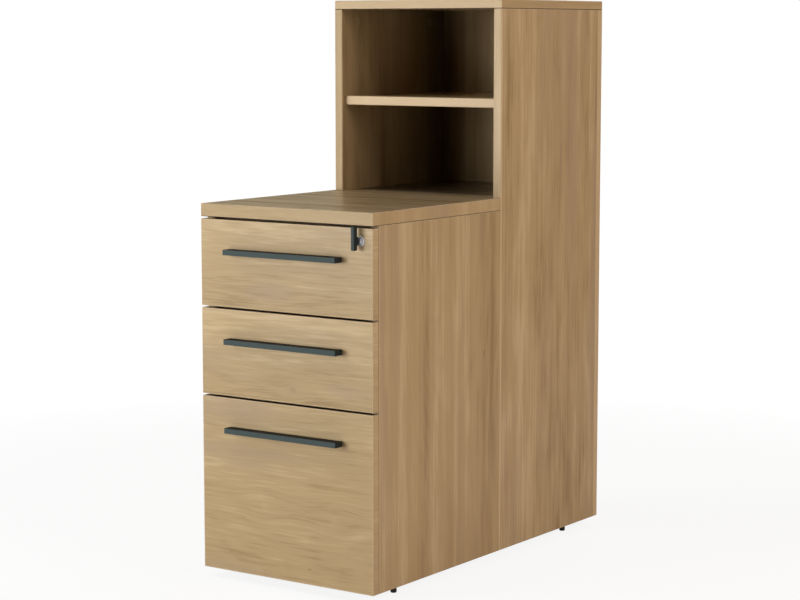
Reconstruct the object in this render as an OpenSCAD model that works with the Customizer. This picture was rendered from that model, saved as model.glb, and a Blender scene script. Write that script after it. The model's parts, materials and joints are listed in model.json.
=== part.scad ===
// Desk-high three-drawer pedestal with an open two-compartment bookcase tower at its rear half.
// Millimetres. +Z is up, the drawers open towards -Y, and the origin is on the floor under the
// middle of the whole object, pull handles and key included.

/* [Cabinet] */
// Width over the side panels
cabinet_w = 404; // [370:1:440]
// Depth from the drawer faces to the front edge of the tower
pedestal_run = 433; // [420:1:480]
// Depth of the tower, its back panel included
tower_run = 396; // [340:1:440]
// Height of the tower top above the pedestal top
tower_rise = 388; // [300:1:460]
// Height of the cabinet underside above the floor
cabinet_lift = 18; // [16:0.5:22]

/* [Boards] */
// Thickness of the side, base, shelf and tower boards
board_t = 18; // [16:0.5:20]
// Thickness of the pedestal top
top_t = 25; // [20:0.5:30]
// Thickness of the back panel
back_t = 18; // [12:0.5:20]
// Chamfer along every board edge
edge_ease = 1; // [0.4:0.1:1.5]
// How far the bookshelf stands back from the tower front edge
shelf_setback = 11; // [4:1:20]
// Height of the rail under the front of the pedestal top
rail_h = 30; // [20:1:34]
// Distance from the drawer faces to the front rail
rail_setback = 42; // [42:1:60]

/* [Drawer fronts] */
// Height of each of the two upper drawer fronts
box_front_h = 167; // [150:1:185]
// Height of the bottom drawer front
file_front_h = 338; // [320:1:360]
// Thickness of the drawer fronts
front_t = 18; // [16:0.5:20]
// Gap above each drawer front
front_gap = 4; // [2.5:0.5:5]
// Thickness of the bumper pads between the fronts and the side panels
bumper_t = 1.5; // [1:0.1:2.5]
// Diameter of a bumper pad
bumper_dia = 9; // [6:1:12]
// Height of a bumper pad above the bottom edge of its drawer front
bumper_rise = 20; // [12:1:40]

/* [Pull handles] */
// Distance between the screws of a handle
handle_pitch = 256; // [192:1:288]
// Width of each handle leg
handle_leg = 8; // [7:0.5:12]
// Height of a handle
handle_h = 10; // [8:0.5:14]
// Thickness of the front lip of a handle
handle_lip_t = 4; // [3:0.25:6]
// Thickness of the top plate of a handle
handle_plate_t = 2; // [1.5:0.25:3]
// How far a handle stands out from its drawer front
handle_reach = 22; // [20:0.5:32]
// Distance from the top edge of a front down to its handle
handle_drop = 60; // [50:1:75]
// Radius of the rounded handle corners
handle_corner = 1.5; // [0.5:0.25:2.5]
// Diameter of the handle screws
screw_dia = 4; // [3:0.5:5]
// Diameter of a handle screw head
screw_head_dia = 8; // [7:0.5:10]
// Height of a handle screw head
screw_head_h = 2.4; // [2:0.1:3.5]
// Depth that a handle screw reaches into its leg
screw_bite = 9; // [6:0.5:12]

/* [Drawer trays] */
// Length of the steel drawer trays
tray_len = 480; // [470:1:540]
// Thickness of the tray sheet
sheet_t = 1.2; // [0.8:0.1:1.5]
// Distance from the top edge of a front down to its tray
tray_drop = 41; // [38:1:46]
// Height of an upper tray above the bottom edge of its front
tray_rise = 12; // [8:1:20]
// Running room between the base board and the bottom tray
base_clear = 8; // [5:1:14]
// Outer bend radius along the tray bottom
tray_bend = 2.5; // [2:0.25:4]
// Gap at a welded seam between the sheets of a tray
weld_gap = 0.05; // [0.03:0.01:0.1]
// Width of the hem round the top of a tray
hem_w = 9; // [7:0.5:12]
// Depth of the down-turned lip of the hem
hem_lip = 5; // [3:0.5:8]
// Width of a hanging file rail
file_rail_w = 3; // [2:0.5:4]
// Height of a hanging file rail
file_rail_h = 11; // [8:0.5:16]

/* [Drawer slides] */
// Length of each slide member, and the travel of a drawer
slide_len = 450; // [400:10:450]
// Distance from the drawer faces to the front end of the slides
slide_start = 42; // [40:1:46]
// Thickness of the slide steel
slide_t = 1.2; // [1:0.05:1.3]
// Overall height of a slide
slide_h = 45; // [43:0.5:47]
// Room between the side panel and the tray
slide_room = 12.7; // [12.7:0.1:13.2]
// Diameter of the balls between cabinet and middle members
outer_ball_dia = 4; // [3.8:0.05:4.1]
// Diameter of the balls between middle and drawer members
inner_ball_dia = 3; // [2.8:0.05:3.1]
// Running clearance of each ball in its races and its cage
ball_clear = 0.15; // [0.1:0.01:0.2]
// Thickness of the ball cages
cage_t = 0.5; // [0.4:0.05:0.6]
// Length of the ball cages
cage_len = 160; // [150:1:200]
// Number of balls in a row
balls_per_row = 6; // [4:1:6]
// Distance between two balls of a row
ball_pitch = 26; // [20:1:28]
// Height of a slide above the bottom of an upper tray
box_slide_rise = 42; // [40:1:44]
// Height of a slide above the bottom of the file tray
file_slide_rise = 132; // [130:1:160]
// Diameter of the slide fixing screws
fix_screw_dia = 4; // [3:0.5:4.5]
// Diameter of a slide fixing screw head
fix_head_dia = 7; // [6:0.5:8]
// Depth that a fixing screw reaches into a side panel
fix_screw_bite = 11; // [8:0.5:13]

/* [Lock] */
// Distance from the right edge of the top drawer front to the lock
lock_inset = 27; // [27:0.5:32]
// Distance from the top edge of the top drawer front down to the lock
lock_drop = 23.5; // [22:0.5:25]
// Diameter of the lock face
lock_face_dia = 19; // [18:0.5:22]
// Thickness of the lock face
lock_face_t = 2; // [1.5:0.1:3]
// Diameter of the lock barrel
lock_barrel_dia = 16; // [14:0.5:16]
// Diameter of the turning plug
plug_dia = 11; // [10:0.5:12]
// How far the plug stands out from the lock face
plug_proud = 3; // [2:0.5:4]
// Radial running clearance of the plug
plug_clear = 0.05; // [0.03:0.01:0.08]
// How far the barrel reaches behind the drawer front
barrel_tail = 4; // [3:0.5:5]
// Thickness of the cam
cam_t = 2; // [1.5:0.1:2.5]
// Distance from the lock axis to the cam pin
cam_throw = 7; // [6:0.5:7.5]
// Diameter of the cam pin
cam_pin_dia = 4; // [3:0.5:4.5]
// Turn of the key from open to locked, in degrees
key_turn = 90; // [80:1:90]
// Length of the key bow
key_bow_h = 44; // [36:1:48]
// Depth of the key bow, away from the drawer
key_bow_d = 10.5; // [8:0.5:11]
// Thickness of the key bow
key_bow_t = 8.5; // [6:0.5:9]
// How far the key stands out from the drawer front
key_reach = 18; // [17.5:0.5:24]
// Height of the middle of the bow above the lock axis
key_bow_lift = 5; // [0:0.5:6]
// Distance from the lock axis to the bow beside it
key_bow_side = 6; // [6:0.5:8]
// Height of the hub that joins bow and shank
key_hub_h = 16; // [12:0.5:18]
// Height of the key shank
key_shank_h = 11; // [8:0.5:13]
// Thickness of the key shank
key_shank_t = 2.2; // [1.6:0.1:2.6]
// Height of the key blade inside the plug
key_blade_h = 7; // [5:0.5:8]

/* [Lock bar] */
// Thickness of the lock bar
bar_t = 1.5; // [1.2:0.1:1.6]
// Width of the lock bar
bar_w = 14; // [12:0.5:15]
// Distance from the drawer faces to the lock bar
bar_start = 24.5; // [24.5:0.1:25]
// Height of each catch on the bar
catch_h = 8; // [6:0.5:9]
// Thickness of each catch
catch_t = 3; // [2:0.5:3]
// Height of each hook on a tray
hook_h = 12; // [10:0.5:14]
// Height of a hook above the bottom of its tray
hook_rise = 85; // [84:1:87]
// Height of the bar guides
guide_h = 14; // [10:0.5:15]

/* [Levelling glides] */
// Diameter of a glide foot
foot_dia = 12; // [10:0.5:18]
// Height of a glide foot
foot_h = 8; // [6:0.5:10]
// Rounding of the foot edge
foot_round = 2; // [1:0.25:3]
// Diameter of the threaded stem
stem_dia = 8; // [6:0.5:9]
// Distance from the cabinet side to a glide
glide_side_inset = 26; // [26:0.5:40]
// Distance from the front and back faces to a glide
glide_end_inset = 102; // [60:1:140]
// Diameter of the threaded socket in the base board
socket_dia = 12; // [11:0.5:14]
// Diameter of the socket flange
socket_flange_dia = 18; // [16:0.5:22]
// Thickness of the socket flange
socket_flange_t = 1.5; // [1:0.1:2.5]

/* [Panel fittings] */
// Diameter of the fitting discs let into the boards
disc_dia = 15; // [12:0.5:16]
// Depth of a fitting disc
disc_depth = 13; // [11:0.5:14]
// Distance from the end of a board to its fitting disc
disc_setback = 24; // [20:1:34]
// Diameter of the fitting bolts
fit_bolt_dia = 6; // [5:0.5:7]
// Depth that a fitting bolt reaches into the next board
fit_bolt_bite = 10; // [8:0.5:12]
// Distance from the ends of a joint to its fittings
fit_end_inset = 55; // [40:1:80]

/* [Hidden] */
$fn = 48;

// Clearance of a screw or bolt in its hole, on the radius
hole_clear = 0.1;
// Clearance of a loose part in its pocket
fit_clear = 0.3;
// Overlap that makes a cut pass cleanly through a face
cut = 1;

// The whole cabinet
half_w = cabinet_w / 2;
inner_x = half_w - board_t;
total_run = pedestal_run + tower_run;
front_reach = max(handle_reach, key_reach);
front_y = front_reach / 2 - total_run / 2;
back_y = front_y + total_run;
tower_y = front_y + pedestal_run;
back_inner_y = back_y - back_t;
carcass_y = front_y + front_t + bumper_t;
pedestal_h = file_front_h + 2 * box_front_h + 3 * front_gap + top_t;
base_z = cabinet_lift;
base_top_z = base_z + board_t;
top_z = base_z + pedestal_h;
top_under_z = top_z - top_t;
tower_z = top_z + tower_rise;
tower_under_z = tower_z - board_t;
shelf_z = (top_z + tower_under_z - board_t) / 2;
mid_board_x = half_w - board_t / 2;

// Drawers are numbered from the top
drawers = [0, 1, 2];
front_h = [box_front_h, box_front_h, file_front_h];
front_z = [
    base_z + file_front_h + box_front_h + 2 * front_gap,
    base_z + file_front_h + front_gap,
    base_z
];
front_top_z = [for (i = drawers) front_z[i] + front_h[i]];
tray_z = [front_z[0] + tray_rise, front_z[1] + tray_rise, base_top_z + base_clear];
tray_h = [for (i = drawers) front_top_z[i] - tray_drop - tray_z[i]];
tray_y = front_y + front_t;
tray_x = inner_x - slide_room;
slide_z = [tray_z[0] + box_slide_rise, tray_z[1] + box_slide_rise, tray_z[2] + file_slide_rise];
slide_y = front_y + slide_start;
handle_z = [for (i = drawers) front_top_z[i] - handle_drop];

// The slide section, measured from the side panel towards the tray
outer_race = outer_ball_dia / 2 + ball_clear;
inner_race = inner_ball_dia / 2 + ball_clear;
cage_gap = 0.25;
inner_cage_gap = 0.3;
// How far the middle web stands in behind the outer races
web_tuck = 0.35;
// How far the outer cage reaches past its ball centres, and the inner one stops before the tray
outer_lip = 2.8;
inner_lip_gap = 0.5;
outer_cage_u = slide_t + cage_gap;
outer_ball_u = outer_cage_u + cage_t + cage_gap + outer_ball_dia / 2;
outer_ball_v = slide_h / 2 - slide_t - outer_race;
middle_top_v = outer_ball_v - outer_race;
middle_web_u = outer_ball_u + outer_race - web_tuck;
inner_ball_v = middle_top_v - slide_t - inner_race;
drawer_top_v = inner_ball_v - inner_race;
inner_cage_u = middle_web_u + slide_t + cage_gap;
inner_ball_u = inner_cage_u + cage_t + inner_cage_gap + inner_ball_dia / 2;
outer_lip_u = outer_ball_u + outer_lip;
inner_lip_u = slide_room - inner_lip_gap;
cage_y = slide_y + (slide_len - cage_len) / 2;
ball_y = slide_y + slide_len / 2 - (balls_per_row - 1) * ball_pitch / 2;
// Angles at which the races begin
race_open = 25;
race_hook = 240;
// Places of the fixing screws along a slide
fix_screw_at = [20, 200, 370];
fix_screw_y = [for (at = fix_screw_at) slide_y + at];

// The lock and its bar
lock_x = half_w - lock_inset;
lock_z = front_top_z[0] - lock_drop;
barrel_bore_dia = lock_barrel_dia + 2 * hole_clear;
barrel_end_y = tray_y + barrel_tail;
cam_y = barrel_end_y + fit_clear;
bar_y = front_y + bar_start;
// The cam pin swings from below to above the lock axis
pin_angle = key_turn / 2;
bar_lift = 2 * cam_throw * sin(pin_angle);
pin_x = -cam_throw * cos(pin_angle);
pin_z = -cam_throw * sin(pin_angle);
fork_clear = 0.4;
fork_gap = cam_pin_dia + 2 * fork_clear;
fork_t = 1.5;
fork_y = cam_y + cam_t + cage_gap + fork_t / 2;
cam_pin_end_y = fork_y + fork_t + cut;
catch_y = bar_y + bar_w - catch_t;
hook_y = bar_y + bar_w + cut;
hook_t = 3;
hook_out = 6.5;
catch_in = 6;
catch_drop = hook_h / 2 + catch_h / 2 + cut;
hook_z = [for (i = drawers) tray_z[i] + hook_rise];
// The guides stand just under the slides, clear of the hooks
guide_gap = 1;
guide_z = [tray_z[0] + guide_gap, tray_z[1] + guide_gap, hook_z[2] + hook_h / 2 - guide_gap];
bar_low_z = hook_z[2] - catch_drop - catch_h;
bar_high_z = lock_z + pin_z + fork_gap;

// The glides
glide_x = half_w - glide_side_inset;
glide_front_y = front_y + glide_end_inset;
glide_rear_y = back_y - glide_end_inset;
// How far the stems end below the top of the base board
stem_short = 2;
stem_top_z = base_z + board_t - stem_short;

// One board with chamfered edges, from its low corner
module panel(at, size) {
    e = edge_ease;
    translate(at)
        intersection() {
            linear_extrude(size.z) eased_rect(size.x, size.y, e);
            along_y(0, size.y) eased_rect(size.x, size.z, e);
            rotate([90, 0, 90]) linear_extrude(size.x) eased_rect(size.y, size.z, e);
        }
}

// A rectangle from the origin with its four corners cut off
module eased_rect(w, h, e) {
    polygon([[e, 0], [w - e, 0], [w, e], [w, h - e], [w - e, h], [e, h], [0, h - e], [0, e]]);
}

// A piece drawn for the left side, and its mirror image on the right
module both_sides() {
    children();
    mirror([1, 0, 0]) children();
}

// A section in x and z, carried along +Y from y0
module along_y(y0, len) {
    translate([0, y0 + len, 0]) rotate([90, 0, 0]) linear_extrude(len) children();
}

// A cylinder that runs along +Y from its start point
module rod_y(at, len, r) {
    translate(at) rotate([-90, 0, 0]) cylinder(h = len, r = r);
}

// A cylinder that runs along +X from its start point
module rod_x(at, len, r) {
    translate(at) rotate([0, 90, 0]) cylinder(h = len, r = r);
}

// Part of a flat ring round a centre, between two angles under a half turn apart
module arc_band(centre, r_in, r_out, a0, a1) {
    far = 2 * r_out;
    am = (a0 + a1) / 2;
    translate(centre)
        intersection() {
            difference() {
                circle(r = r_out);
                circle(r = r_in);
            }
            polygon([
                [0, 0],
                [far * cos(a0), far * sin(a0)],
                [far * cos(am), far * sin(am)],
                [far * cos(a1), far * sin(a1)]
            ]);
        }
}

// Panel fittings: a disc let into one board draws a bolt out of the next one.
// Local +X points across the joint and the disc opens towards local -Z.
module fitting() {
    translate([-disc_setback, 0, -board_t / 2]) cylinder(h = disc_depth, d = disc_dia);
    bolt_start = disc_dia / 2 - disc_setback + fit_clear;
    rod_x([bolt_start, 0, 0], fit_bolt_bite - bolt_start, fit_bolt_dia / 2);
}

// The room that a fitting needs in both boards
module fitting_cut() {
    bore_len = disc_setback + fit_bolt_bite + fit_clear;
    translate([-disc_setback, 0, -board_t / 2 - cut])
        cylinder(h = disc_depth + cut + hole_clear, d = disc_dia + 2 * hole_clear);
    rod_x([-disc_setback, 0, 0], bore_len, fit_bolt_dia / 2 + hole_clear);
}

// Fittings in the ends of the base board, left and right
module base_fittings() {
    for (y = [carcass_y + fit_end_inset, tower_y - fit_end_inset, back_inner_y - fit_end_inset])
        both_sides() translate([inner_x, y, base_z + board_t / 2]) children();
}

// Fittings in the ends of the bookshelf
module shelf_fittings() {
    for (y = [tower_y + shelf_setback + fit_end_inset, back_inner_y - fit_end_inset])
        both_sides() translate([inner_x, y, shelf_z + board_t / 2]) children();
}

// Fittings that hold the pedestal top down on its side panels
module top_fittings() {
    for (y = [carcass_y + fit_end_inset, tower_y - fit_end_inset])
        both_sides() translate([-mid_board_x, y, top_under_z]) rotate([0, -90, 0]) children();
}

// Fittings that hold the tower top down on its side panels
module tower_top_fittings() {
    for (y = [tower_y + fit_end_inset, back_inner_y - fit_end_inset])
        both_sides() translate([-mid_board_x, y, tower_under_z]) rotate([0, -90, 0]) children();
}

module panel_fittings() {
    color("silver") {
        base_fittings() fitting();
        shelf_fittings() fitting();
        top_fittings() fitting();
        tower_top_fittings() fitting();
    }
}

// The pedestal top is full width over the drawers and runs on between the tower sides
// as the floor of the lower compartment
module pedestal_top() {
    color("burlywood")
        difference() {
            panel([-half_w, front_y, top_under_z], [cabinet_w, back_inner_y - front_y, top_t]);
            both_sides()
                translate([inner_x, tower_y, top_under_z - cut])
                    cube([board_t + cut, tower_run, top_t + 2 * cut]);
            top_fittings() fitting_cut();
        }
}

// Pilot holes for the screws of the left slides
module slide_pilot_cuts() {
    pilot_len = fix_screw_bite + fit_clear;
    for (z = slide_z, y = fix_screw_y)
        rod_x([-inner_x - pilot_len, y, z], pilot_len + cut, fix_screw_dia / 2 + hole_clear);
}

// Left side panel of the pedestal, also mirrored for the right
module pedestal_side() {
    difference() {
        panel([-half_w, carcass_y, base_z], [board_t, tower_y - carcass_y, top_under_z - base_z]);
        slide_pilot_cuts();
        base_fittings() fitting_cut();
        top_fittings() fitting_cut();
    }
}

module pedestal_side_left() {
    color("peru") pedestal_side();
}

module pedestal_side_right() {
    color("peru") mirror([1, 0, 0]) pedestal_side();
}

// Left side panel of the tower, from the cabinet underside up to the tower top
module tower_side() {
    difference() {
        panel([-half_w, tower_y, base_z], [board_t, back_inner_y - tower_y, tower_under_z - base_z]);
        slide_pilot_cuts();
        base_fittings() fitting_cut();
        shelf_fittings() fitting_cut();
        tower_top_fittings() fitting_cut();
    }
}

module tower_side_left() {
    color("tan") tower_side();
}

module tower_side_right() {
    color("tan") mirror([1, 0, 0]) tower_side();
}

// The tower top lies over the side panels and the back panel
module tower_top() {
    color("burlywood")
        difference() {
            panel([-half_w, tower_y, tower_under_z], [cabinet_w, tower_run, board_t]);
            tower_top_fittings() fitting_cut();
        }
}

// One back panel covers the rear edges of the tower, from its underside to the tower top
module back_panel() {
    color("tan") panel([-half_w, back_inner_y, base_z], [cabinet_w, back_t, tower_under_z - base_z]);
}

// The base board runs the full depth between the side panels
module base_panel() {
    color("burlywood")
        difference() {
            panel([-inner_x, carcass_y, base_z], [2 * inner_x, back_inner_y - carcass_y, board_t]);
            base_fittings() fitting_cut();
            glide_places() socket_cut();
        }
}

// The front rail stiffens the pedestal just under its top
module front_rail() {
    color("burlywood")
        panel([-inner_x, front_y + rail_setback, top_under_z - rail_h], [2 * inner_x, board_t, rail_h]);
}

// The bookshelf divides the tower into two equal compartments
module bookshelf() {
    shelf_y = tower_y + shelf_setback;
    color("burlywood")
        difference() {
            panel([-inner_x, shelf_y, shelf_z], [2 * inner_x, back_inner_y - shelf_y, board_t]);
            shelf_fittings() fitting_cut();
        }
}

// Soft pads on the front edges of the side panels, where the drawer fronts land
module front_bumpers() {
    color("dimgray")
        for (z = front_z)
            both_sides()
                rod_y([-mid_board_x, tray_y, z + bumper_rise], bumper_t, bumper_dia / 2);
}

// Levelling glides: a round foot on a stem that screws into a socket in the base board
module glide_places() {
    for (y = [glide_front_y, glide_rear_y])
        both_sides() translate([glide_x, y, 0]) children();
}

module socket_cut() {
    translate([0, 0, base_z - cut]) cylinder(h = board_t + 2 * cut, d = socket_dia + 2 * hole_clear);
}

module glide_sockets() {
    color("dimgray")
        glide_places()
            difference() {
                union() {
                    translate([0, 0, base_z - socket_flange_t])
                        cylinder(h = socket_flange_t, d = socket_flange_dia);
                    translate([0, 0, base_z - socket_flange_t])
                        cylinder(h = board_t + socket_flange_t, d = socket_dia);
                }
                translate([0, 0, base_z - socket_flange_t - cut])
                    cylinder(h = board_t + socket_flange_t + 2 * cut, d = stem_dia + 2 * plug_clear);
            }
}

module glide(x, y) {
    color("black")
        translate([x, y, 0]) {
            rotate_extrude()
                union() {
                    square([foot_dia / 2 - foot_round, foot_h]);
                    translate([0, foot_round]) square([foot_dia / 2, foot_h - foot_round]);
                    translate([foot_dia / 2 - foot_round, foot_round]) circle(r = foot_round);
                }
            translate([0, 0, foot_h]) cylinder(h = stem_top_z - foot_h, d = stem_dia);
        }
}

module glide_front_left() {
    glide(-glide_x, glide_front_y);
}

module glide_front_right() {
    glide(glide_x, glide_front_y);
}

module glide_rear_left() {
    glide(-glide_x, glide_rear_y);
}

module glide_rear_right() {
    glide(glide_x, glide_rear_y);
}

// Telescopic slides. Each member is one rolled steel section, drawn as its upper half and
// mirrored, with races that wrap the balls. The section's u runs from the left side panel
// to the tray and its v is the height above the middle of the slide.
module slide_member(i) {
    both_sides()
        translate([-inner_x, 0, slide_z[i]])
            along_y(slide_y, slide_len) {
                children();
                mirror([0, 1]) children();
            }
}

module cabinet_section() {
    square([slide_t, slide_h / 2]);
    translate([0, slide_h / 2 - slide_t]) square([outer_ball_u, slide_t]);
    arc_band([outer_ball_u, outer_ball_v], outer_race, outer_race + slide_t, race_open, 90);
}

module middle_section() {
    translate([middle_web_u, 0]) square([slide_t, middle_top_v]);
    translate([outer_ball_u, middle_top_v - slide_t]) square([inner_ball_u - outer_ball_u, slide_t]);
    arc_band([outer_ball_u, outer_ball_v], outer_race, outer_race + slide_t, race_hook, 270);
    arc_band([inner_ball_u, inner_ball_v], inner_race, inner_race + slide_t, race_open, 90);
}

module drawer_section() {
    translate([slide_room - slide_t, 0]) square([slide_t, drawer_top_v]);
    translate([inner_ball_u, drawer_top_v - slide_t]) square([slide_room - inner_ball_u, slide_t]);
    arc_band([inner_ball_u, inner_ball_v], inner_race, inner_race + slide_t, race_hook, 270);
}

// Places along the two cabinet members of one drawer, where their screws go in
module fix_screw_places(i) {
    both_sides()
        for (y = fix_screw_y)
            translate([-inner_x, y, slide_z[i]]) rotate([0, 90, 0]) children();
}

// The countersunk head of a slide screw lies flush in the slide steel
module screw_head(grow) {
    cylinder(h = slide_t, r1 = fix_screw_dia / 2 + grow, r2 = fix_head_dia / 2 + grow);
}

module slide_screws() {
    color("silver")
        for (i = drawers)
            fix_screw_places(i) {
                screw_head(0);
                translate([0, 0, -fix_screw_bite]) cylinder(h = fix_screw_bite, d = fix_screw_dia);
            }
}

module cabinet_rails(i) {
    color("lightsteelblue")
        difference() {
            slide_member(i) cabinet_section();
            fix_screw_places(i) screw_head(hole_clear);
        }
}

module middle_rails(i) {
    color("silver") slide_member(i) middle_section();
}

module drawer_rails(i) {
    color("lightsteelblue") slide_member(i) drawer_section();
}

// Places of the balls of one row, on both sides and above and below each slide
module ball_places(i, u, v) {
    both_sides()
        for (s = [-1, 1], n = [0 : balls_per_row - 1])
            translate([u - inner_x, ball_y + n * ball_pitch, slide_z[i] + s * v]) children();
}

// A ball cage is a folded strip: a web along the slide and two perforated flanges
module cage(i, u0, u1, ball_u, v, ball_r) {
    difference() {
        both_sides()
            translate([-inner_x, 0, slide_z[i]])
                along_y(cage_y, cage_len) {
                    translate([u0, -v]) square([cage_t, 2 * v]);
                    for (s = [-1, 1])
                        translate([u0, s * v - cage_t / 2]) square([u1 - u0, cage_t]);
                }
        ball_places(i, ball_u, v)
            translate([0, 0, -cut]) cylinder(h = 2 * cut, r = ball_r + ball_clear);
    }
}

module outer_cages(i) {
    color("gold")
        cage(i, outer_cage_u, outer_lip_u, outer_ball_u, outer_ball_v, outer_ball_dia / 2);
}

module inner_cages(i) {
    color("gold")
        cage(i, inner_cage_u, inner_lip_u, inner_ball_u, inner_ball_v, inner_ball_dia / 2);
}

module outer_balls(i) {
    color("white") ball_places(i, outer_ball_u, outer_ball_v) sphere(d = outer_ball_dia, $fn = 24);
}

module inner_balls(i) {
    color("white") ball_places(i, inner_ball_u, inner_ball_v) sphere(d = inner_ball_dia, $fn = 24);
}

// Drawer fronts lie over the front edges of the side panels
module drawer_front(i) {
    color("burlywood")
        difference() {
            panel([-half_w, front_y, front_z[i]], [cabinet_w, front_t, front_h[i]]);
            handle_screw_places(i)
                translate([0, 0, -cut])
                    cylinder(h = front_t + 2 * cut, d = screw_dia + 2 * fit_clear);
            if (i == 0)
                rod_y([lock_x, front_y - cut, lock_z], front_t + 2 * cut, barrel_bore_dia / 2);
        }
}

// Local +Z runs from the face of a drawer front to its back, at each handle screw
module handle_screw_places(i) {
    for (s = [-1, 1])
        translate([s * handle_pitch / 2, front_y, handle_z[i]]) rotate([-90, 0, 0]) children();
}

// The outline of a tray, open upwards, set in from the sheet's outside
module tray_outline(h, inset) {
    r = tray_bend - inset;
    w = tray_x - inset;
    for (s = [-1, 1])
        translate([s * (tray_x - tray_bend), tray_bend]) circle(r = r);
    translate([-w, tray_bend]) square([2 * w, h - tray_bend]);
    translate([tray_bend - tray_x, inset]) square([2 * (tray_x - tray_bend), tray_bend - inset]);
}

// The hem along the top of a tray side: a flange with a down-turned lip
module hem_section(h) {
    translate([0, h - sheet_t]) square([hem_w, sheet_t]);
    translate([hem_w - sheet_t, h - hem_lip]) square([sheet_t, hem_lip]);
}

// A welded steel tray: bottom, two bent and hemmed sides, front plate and hemmed back plate
module drawer_tray(i) {
    h = tray_h[i];
    back_plate_y = tray_y + tray_len - sheet_t;
    fold_y = tray_y + sheet_t + weld_gap;
    fold_len = back_plate_y - weld_gap - fold_y;
    flat_w = tray_x - tray_bend;
    bottom_w = flat_w - weld_gap;
    back_hem_w = tray_x - hem_w - weld_gap;
    color("gainsboro")
        difference() {
            union() {
                translate([0, 0, tray_z[i]]) {
                    along_y(fold_y, fold_len)
                        difference() {
                            tray_outline(h, 0);
                            translate([0, cut]) tray_outline(h, sheet_t);
                            tray_outline(h, sheet_t);
                            translate([-flat_w, -cut]) square([2 * flat_w, h]);
                        }
                    both_sides() translate([-tray_x, 0, 0]) along_y(fold_y, fold_len) hem_section(h);
                    translate([-bottom_w, fold_y, 0]) cube([2 * bottom_w, fold_len, sheet_t]);
                    along_y(tray_y, sheet_t) tray_outline(h, 0);
                    along_y(back_plate_y, sheet_t) tray_outline(h, 0);
                    translate([-back_hem_w, back_plate_y + sheet_t, 0])
                        rotate([90, 0, 90]) linear_extrude(2 * back_hem_w) mirror([1, 0]) hem_section(h);
                }
                tray_hook(i);
            }
            handle_screw_places(i)
                translate([0, 0, front_t - cut])
                    cylinder(h = sheet_t + 2 * cut, d = screw_dia + 2 * fit_clear);
        }
}

// The hook that the lock bar catches, on the right side of a tray
module tray_hook(i) {
    translate([tray_x - sheet_t, hook_y, hook_z[i] - hook_h / 2]) {
        cube([sheet_t + hook_out, hook_t, hook_h]);
        cube([2 * sheet_t, hook_h, hook_h]);
    }
}

// A ledge handle: two legs, a front lip and a top plate, hollow and open towards the floor
module handle(i) {
    length = handle_pitch + handle_leg;
    hollow_len = handle_pitch - handle_leg;
    hollow_depth = handle_reach - handle_lip_t;
    color("darkslategray")
        difference() {
            translate([0, front_y, handle_z[i] - handle_h / 2])
                difference() {
                    linear_extrude(handle_h) handle_plan(length, handle_reach, handle_corner);
                    translate([0, 0, -cut])
                        linear_extrude(handle_h - handle_plate_t + cut)
                            translate([0, -hollow_depth])
                                handle_gap_plan(hollow_len, hollow_depth, handle_corner);
                }
            handle_screw_places(i)
                translate([0, 0, -screw_bite - fit_clear])
                    cylinder(h = screw_bite + fit_clear + cut, d = screw_dia + 2 * hole_clear);
        }
}

// A rectangle in front of the drawer face with its two front corners rounded
module handle_plan(w, reach, r) {
    translate([-w / 2, r - reach]) square([w, reach - r]);
    translate([r - w / 2, -reach]) square([w - 2 * r, r]);
    for (s = [-1, 1])
        translate([s * (w / 2 - r), r - reach]) circle(r = r);
}

// The finger hollow behind the lip, with its two inner corners rounded
module handle_gap_plan(w, depth, r) {
    translate([-w / 2, r]) square([w, depth - r + cut]);
    translate([r - w / 2, 0]) square([w - 2 * r, r]);
    for (s = [-1, 1])
        translate([s * (w / 2 - r), r]) circle(r = r);
}

// Pan head screws from inside the tray, through the front and into the handle legs
module handle_screws(i) {
    head_at = front_t + sheet_t;
    color("silver")
        handle_screw_places(i)
            union() {
                translate([0, 0, -screw_bite]) cylinder(h = screw_bite + head_at, d = screw_dia);
                translate([0, 0, head_at])
                    rotate_extrude()
                        intersection() {
                            square([screw_head_dia / 2, screw_head_h]);
                            translate([0, screw_head_h - screw_head_dia]) circle(r = screw_head_dia);
                        }
            }
}

// Rails for hanging files, standing on the hems of the file tray
module hanging_file_rails() {
    rail_z = tray_z[2] + tray_h[2];
    rail_y = tray_y + sheet_t;
    rail_len = tray_len - 2 * sheet_t;
    color("silver")
        both_sides()
            translate([sheet_t + fit_clear - tray_x, rail_y, rail_z])
                difference() {
                    cube([hem_w - 2 * sheet_t, rail_len, file_rail_h]);
                    translate([-cut, -cut, file_rail_w / 2])
                        cube([hem_w - 2 * sheet_t - file_rail_w + cut, rail_len + 2 * cut, file_rail_h]);
                }
}

// Lock parts are drawn round the lock axis, which runs along Y
module lock_housing() {
    barrel_len = front_t + barrel_tail;
    bore_len = barrel_len + lock_face_t + 2 * cut;
    color("silver")
        translate([lock_x, front_y, lock_z])
            rotate([-90, 0, 0])
                difference() {
                    union() {
                        translate([0, 0, -lock_face_t]) lock_face();
                        cylinder(h = barrel_len, d = lock_barrel_dia);
                    }
                    translate([0, 0, -lock_face_t - cut])
                        cylinder(h = bore_len, d = plug_dia + 2 * plug_clear);
                }
}

// The visible rim of the lock, bevelled towards the front
module lock_face() {
    bevel = lock_face_t / 2;
    rotate_extrude()
        polygon([
            [0, 0], [lock_face_dia / 2 - bevel, 0], [lock_face_dia / 2, bevel],
            [lock_face_dia / 2, lock_face_t], [0, lock_face_t]
        ]);
}

module lock_plug() {
    plug_len = plug_proud + lock_face_t + front_t + barrel_tail;
    slot_t = key_shank_t + 2 * hole_clear;
    slot_h = key_blade_h + 2 * hole_clear;
    color("gainsboro")
        translate([lock_x, front_y - lock_face_t - plug_proud, lock_z])
            difference() {
                rod_y([0, 0, 0], plug_len, plug_dia / 2);
                translate([-slot_t / 2, -cut, -slot_h / 2]) cube([slot_t, front_t + cut, slot_h]);
            }
}

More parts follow.
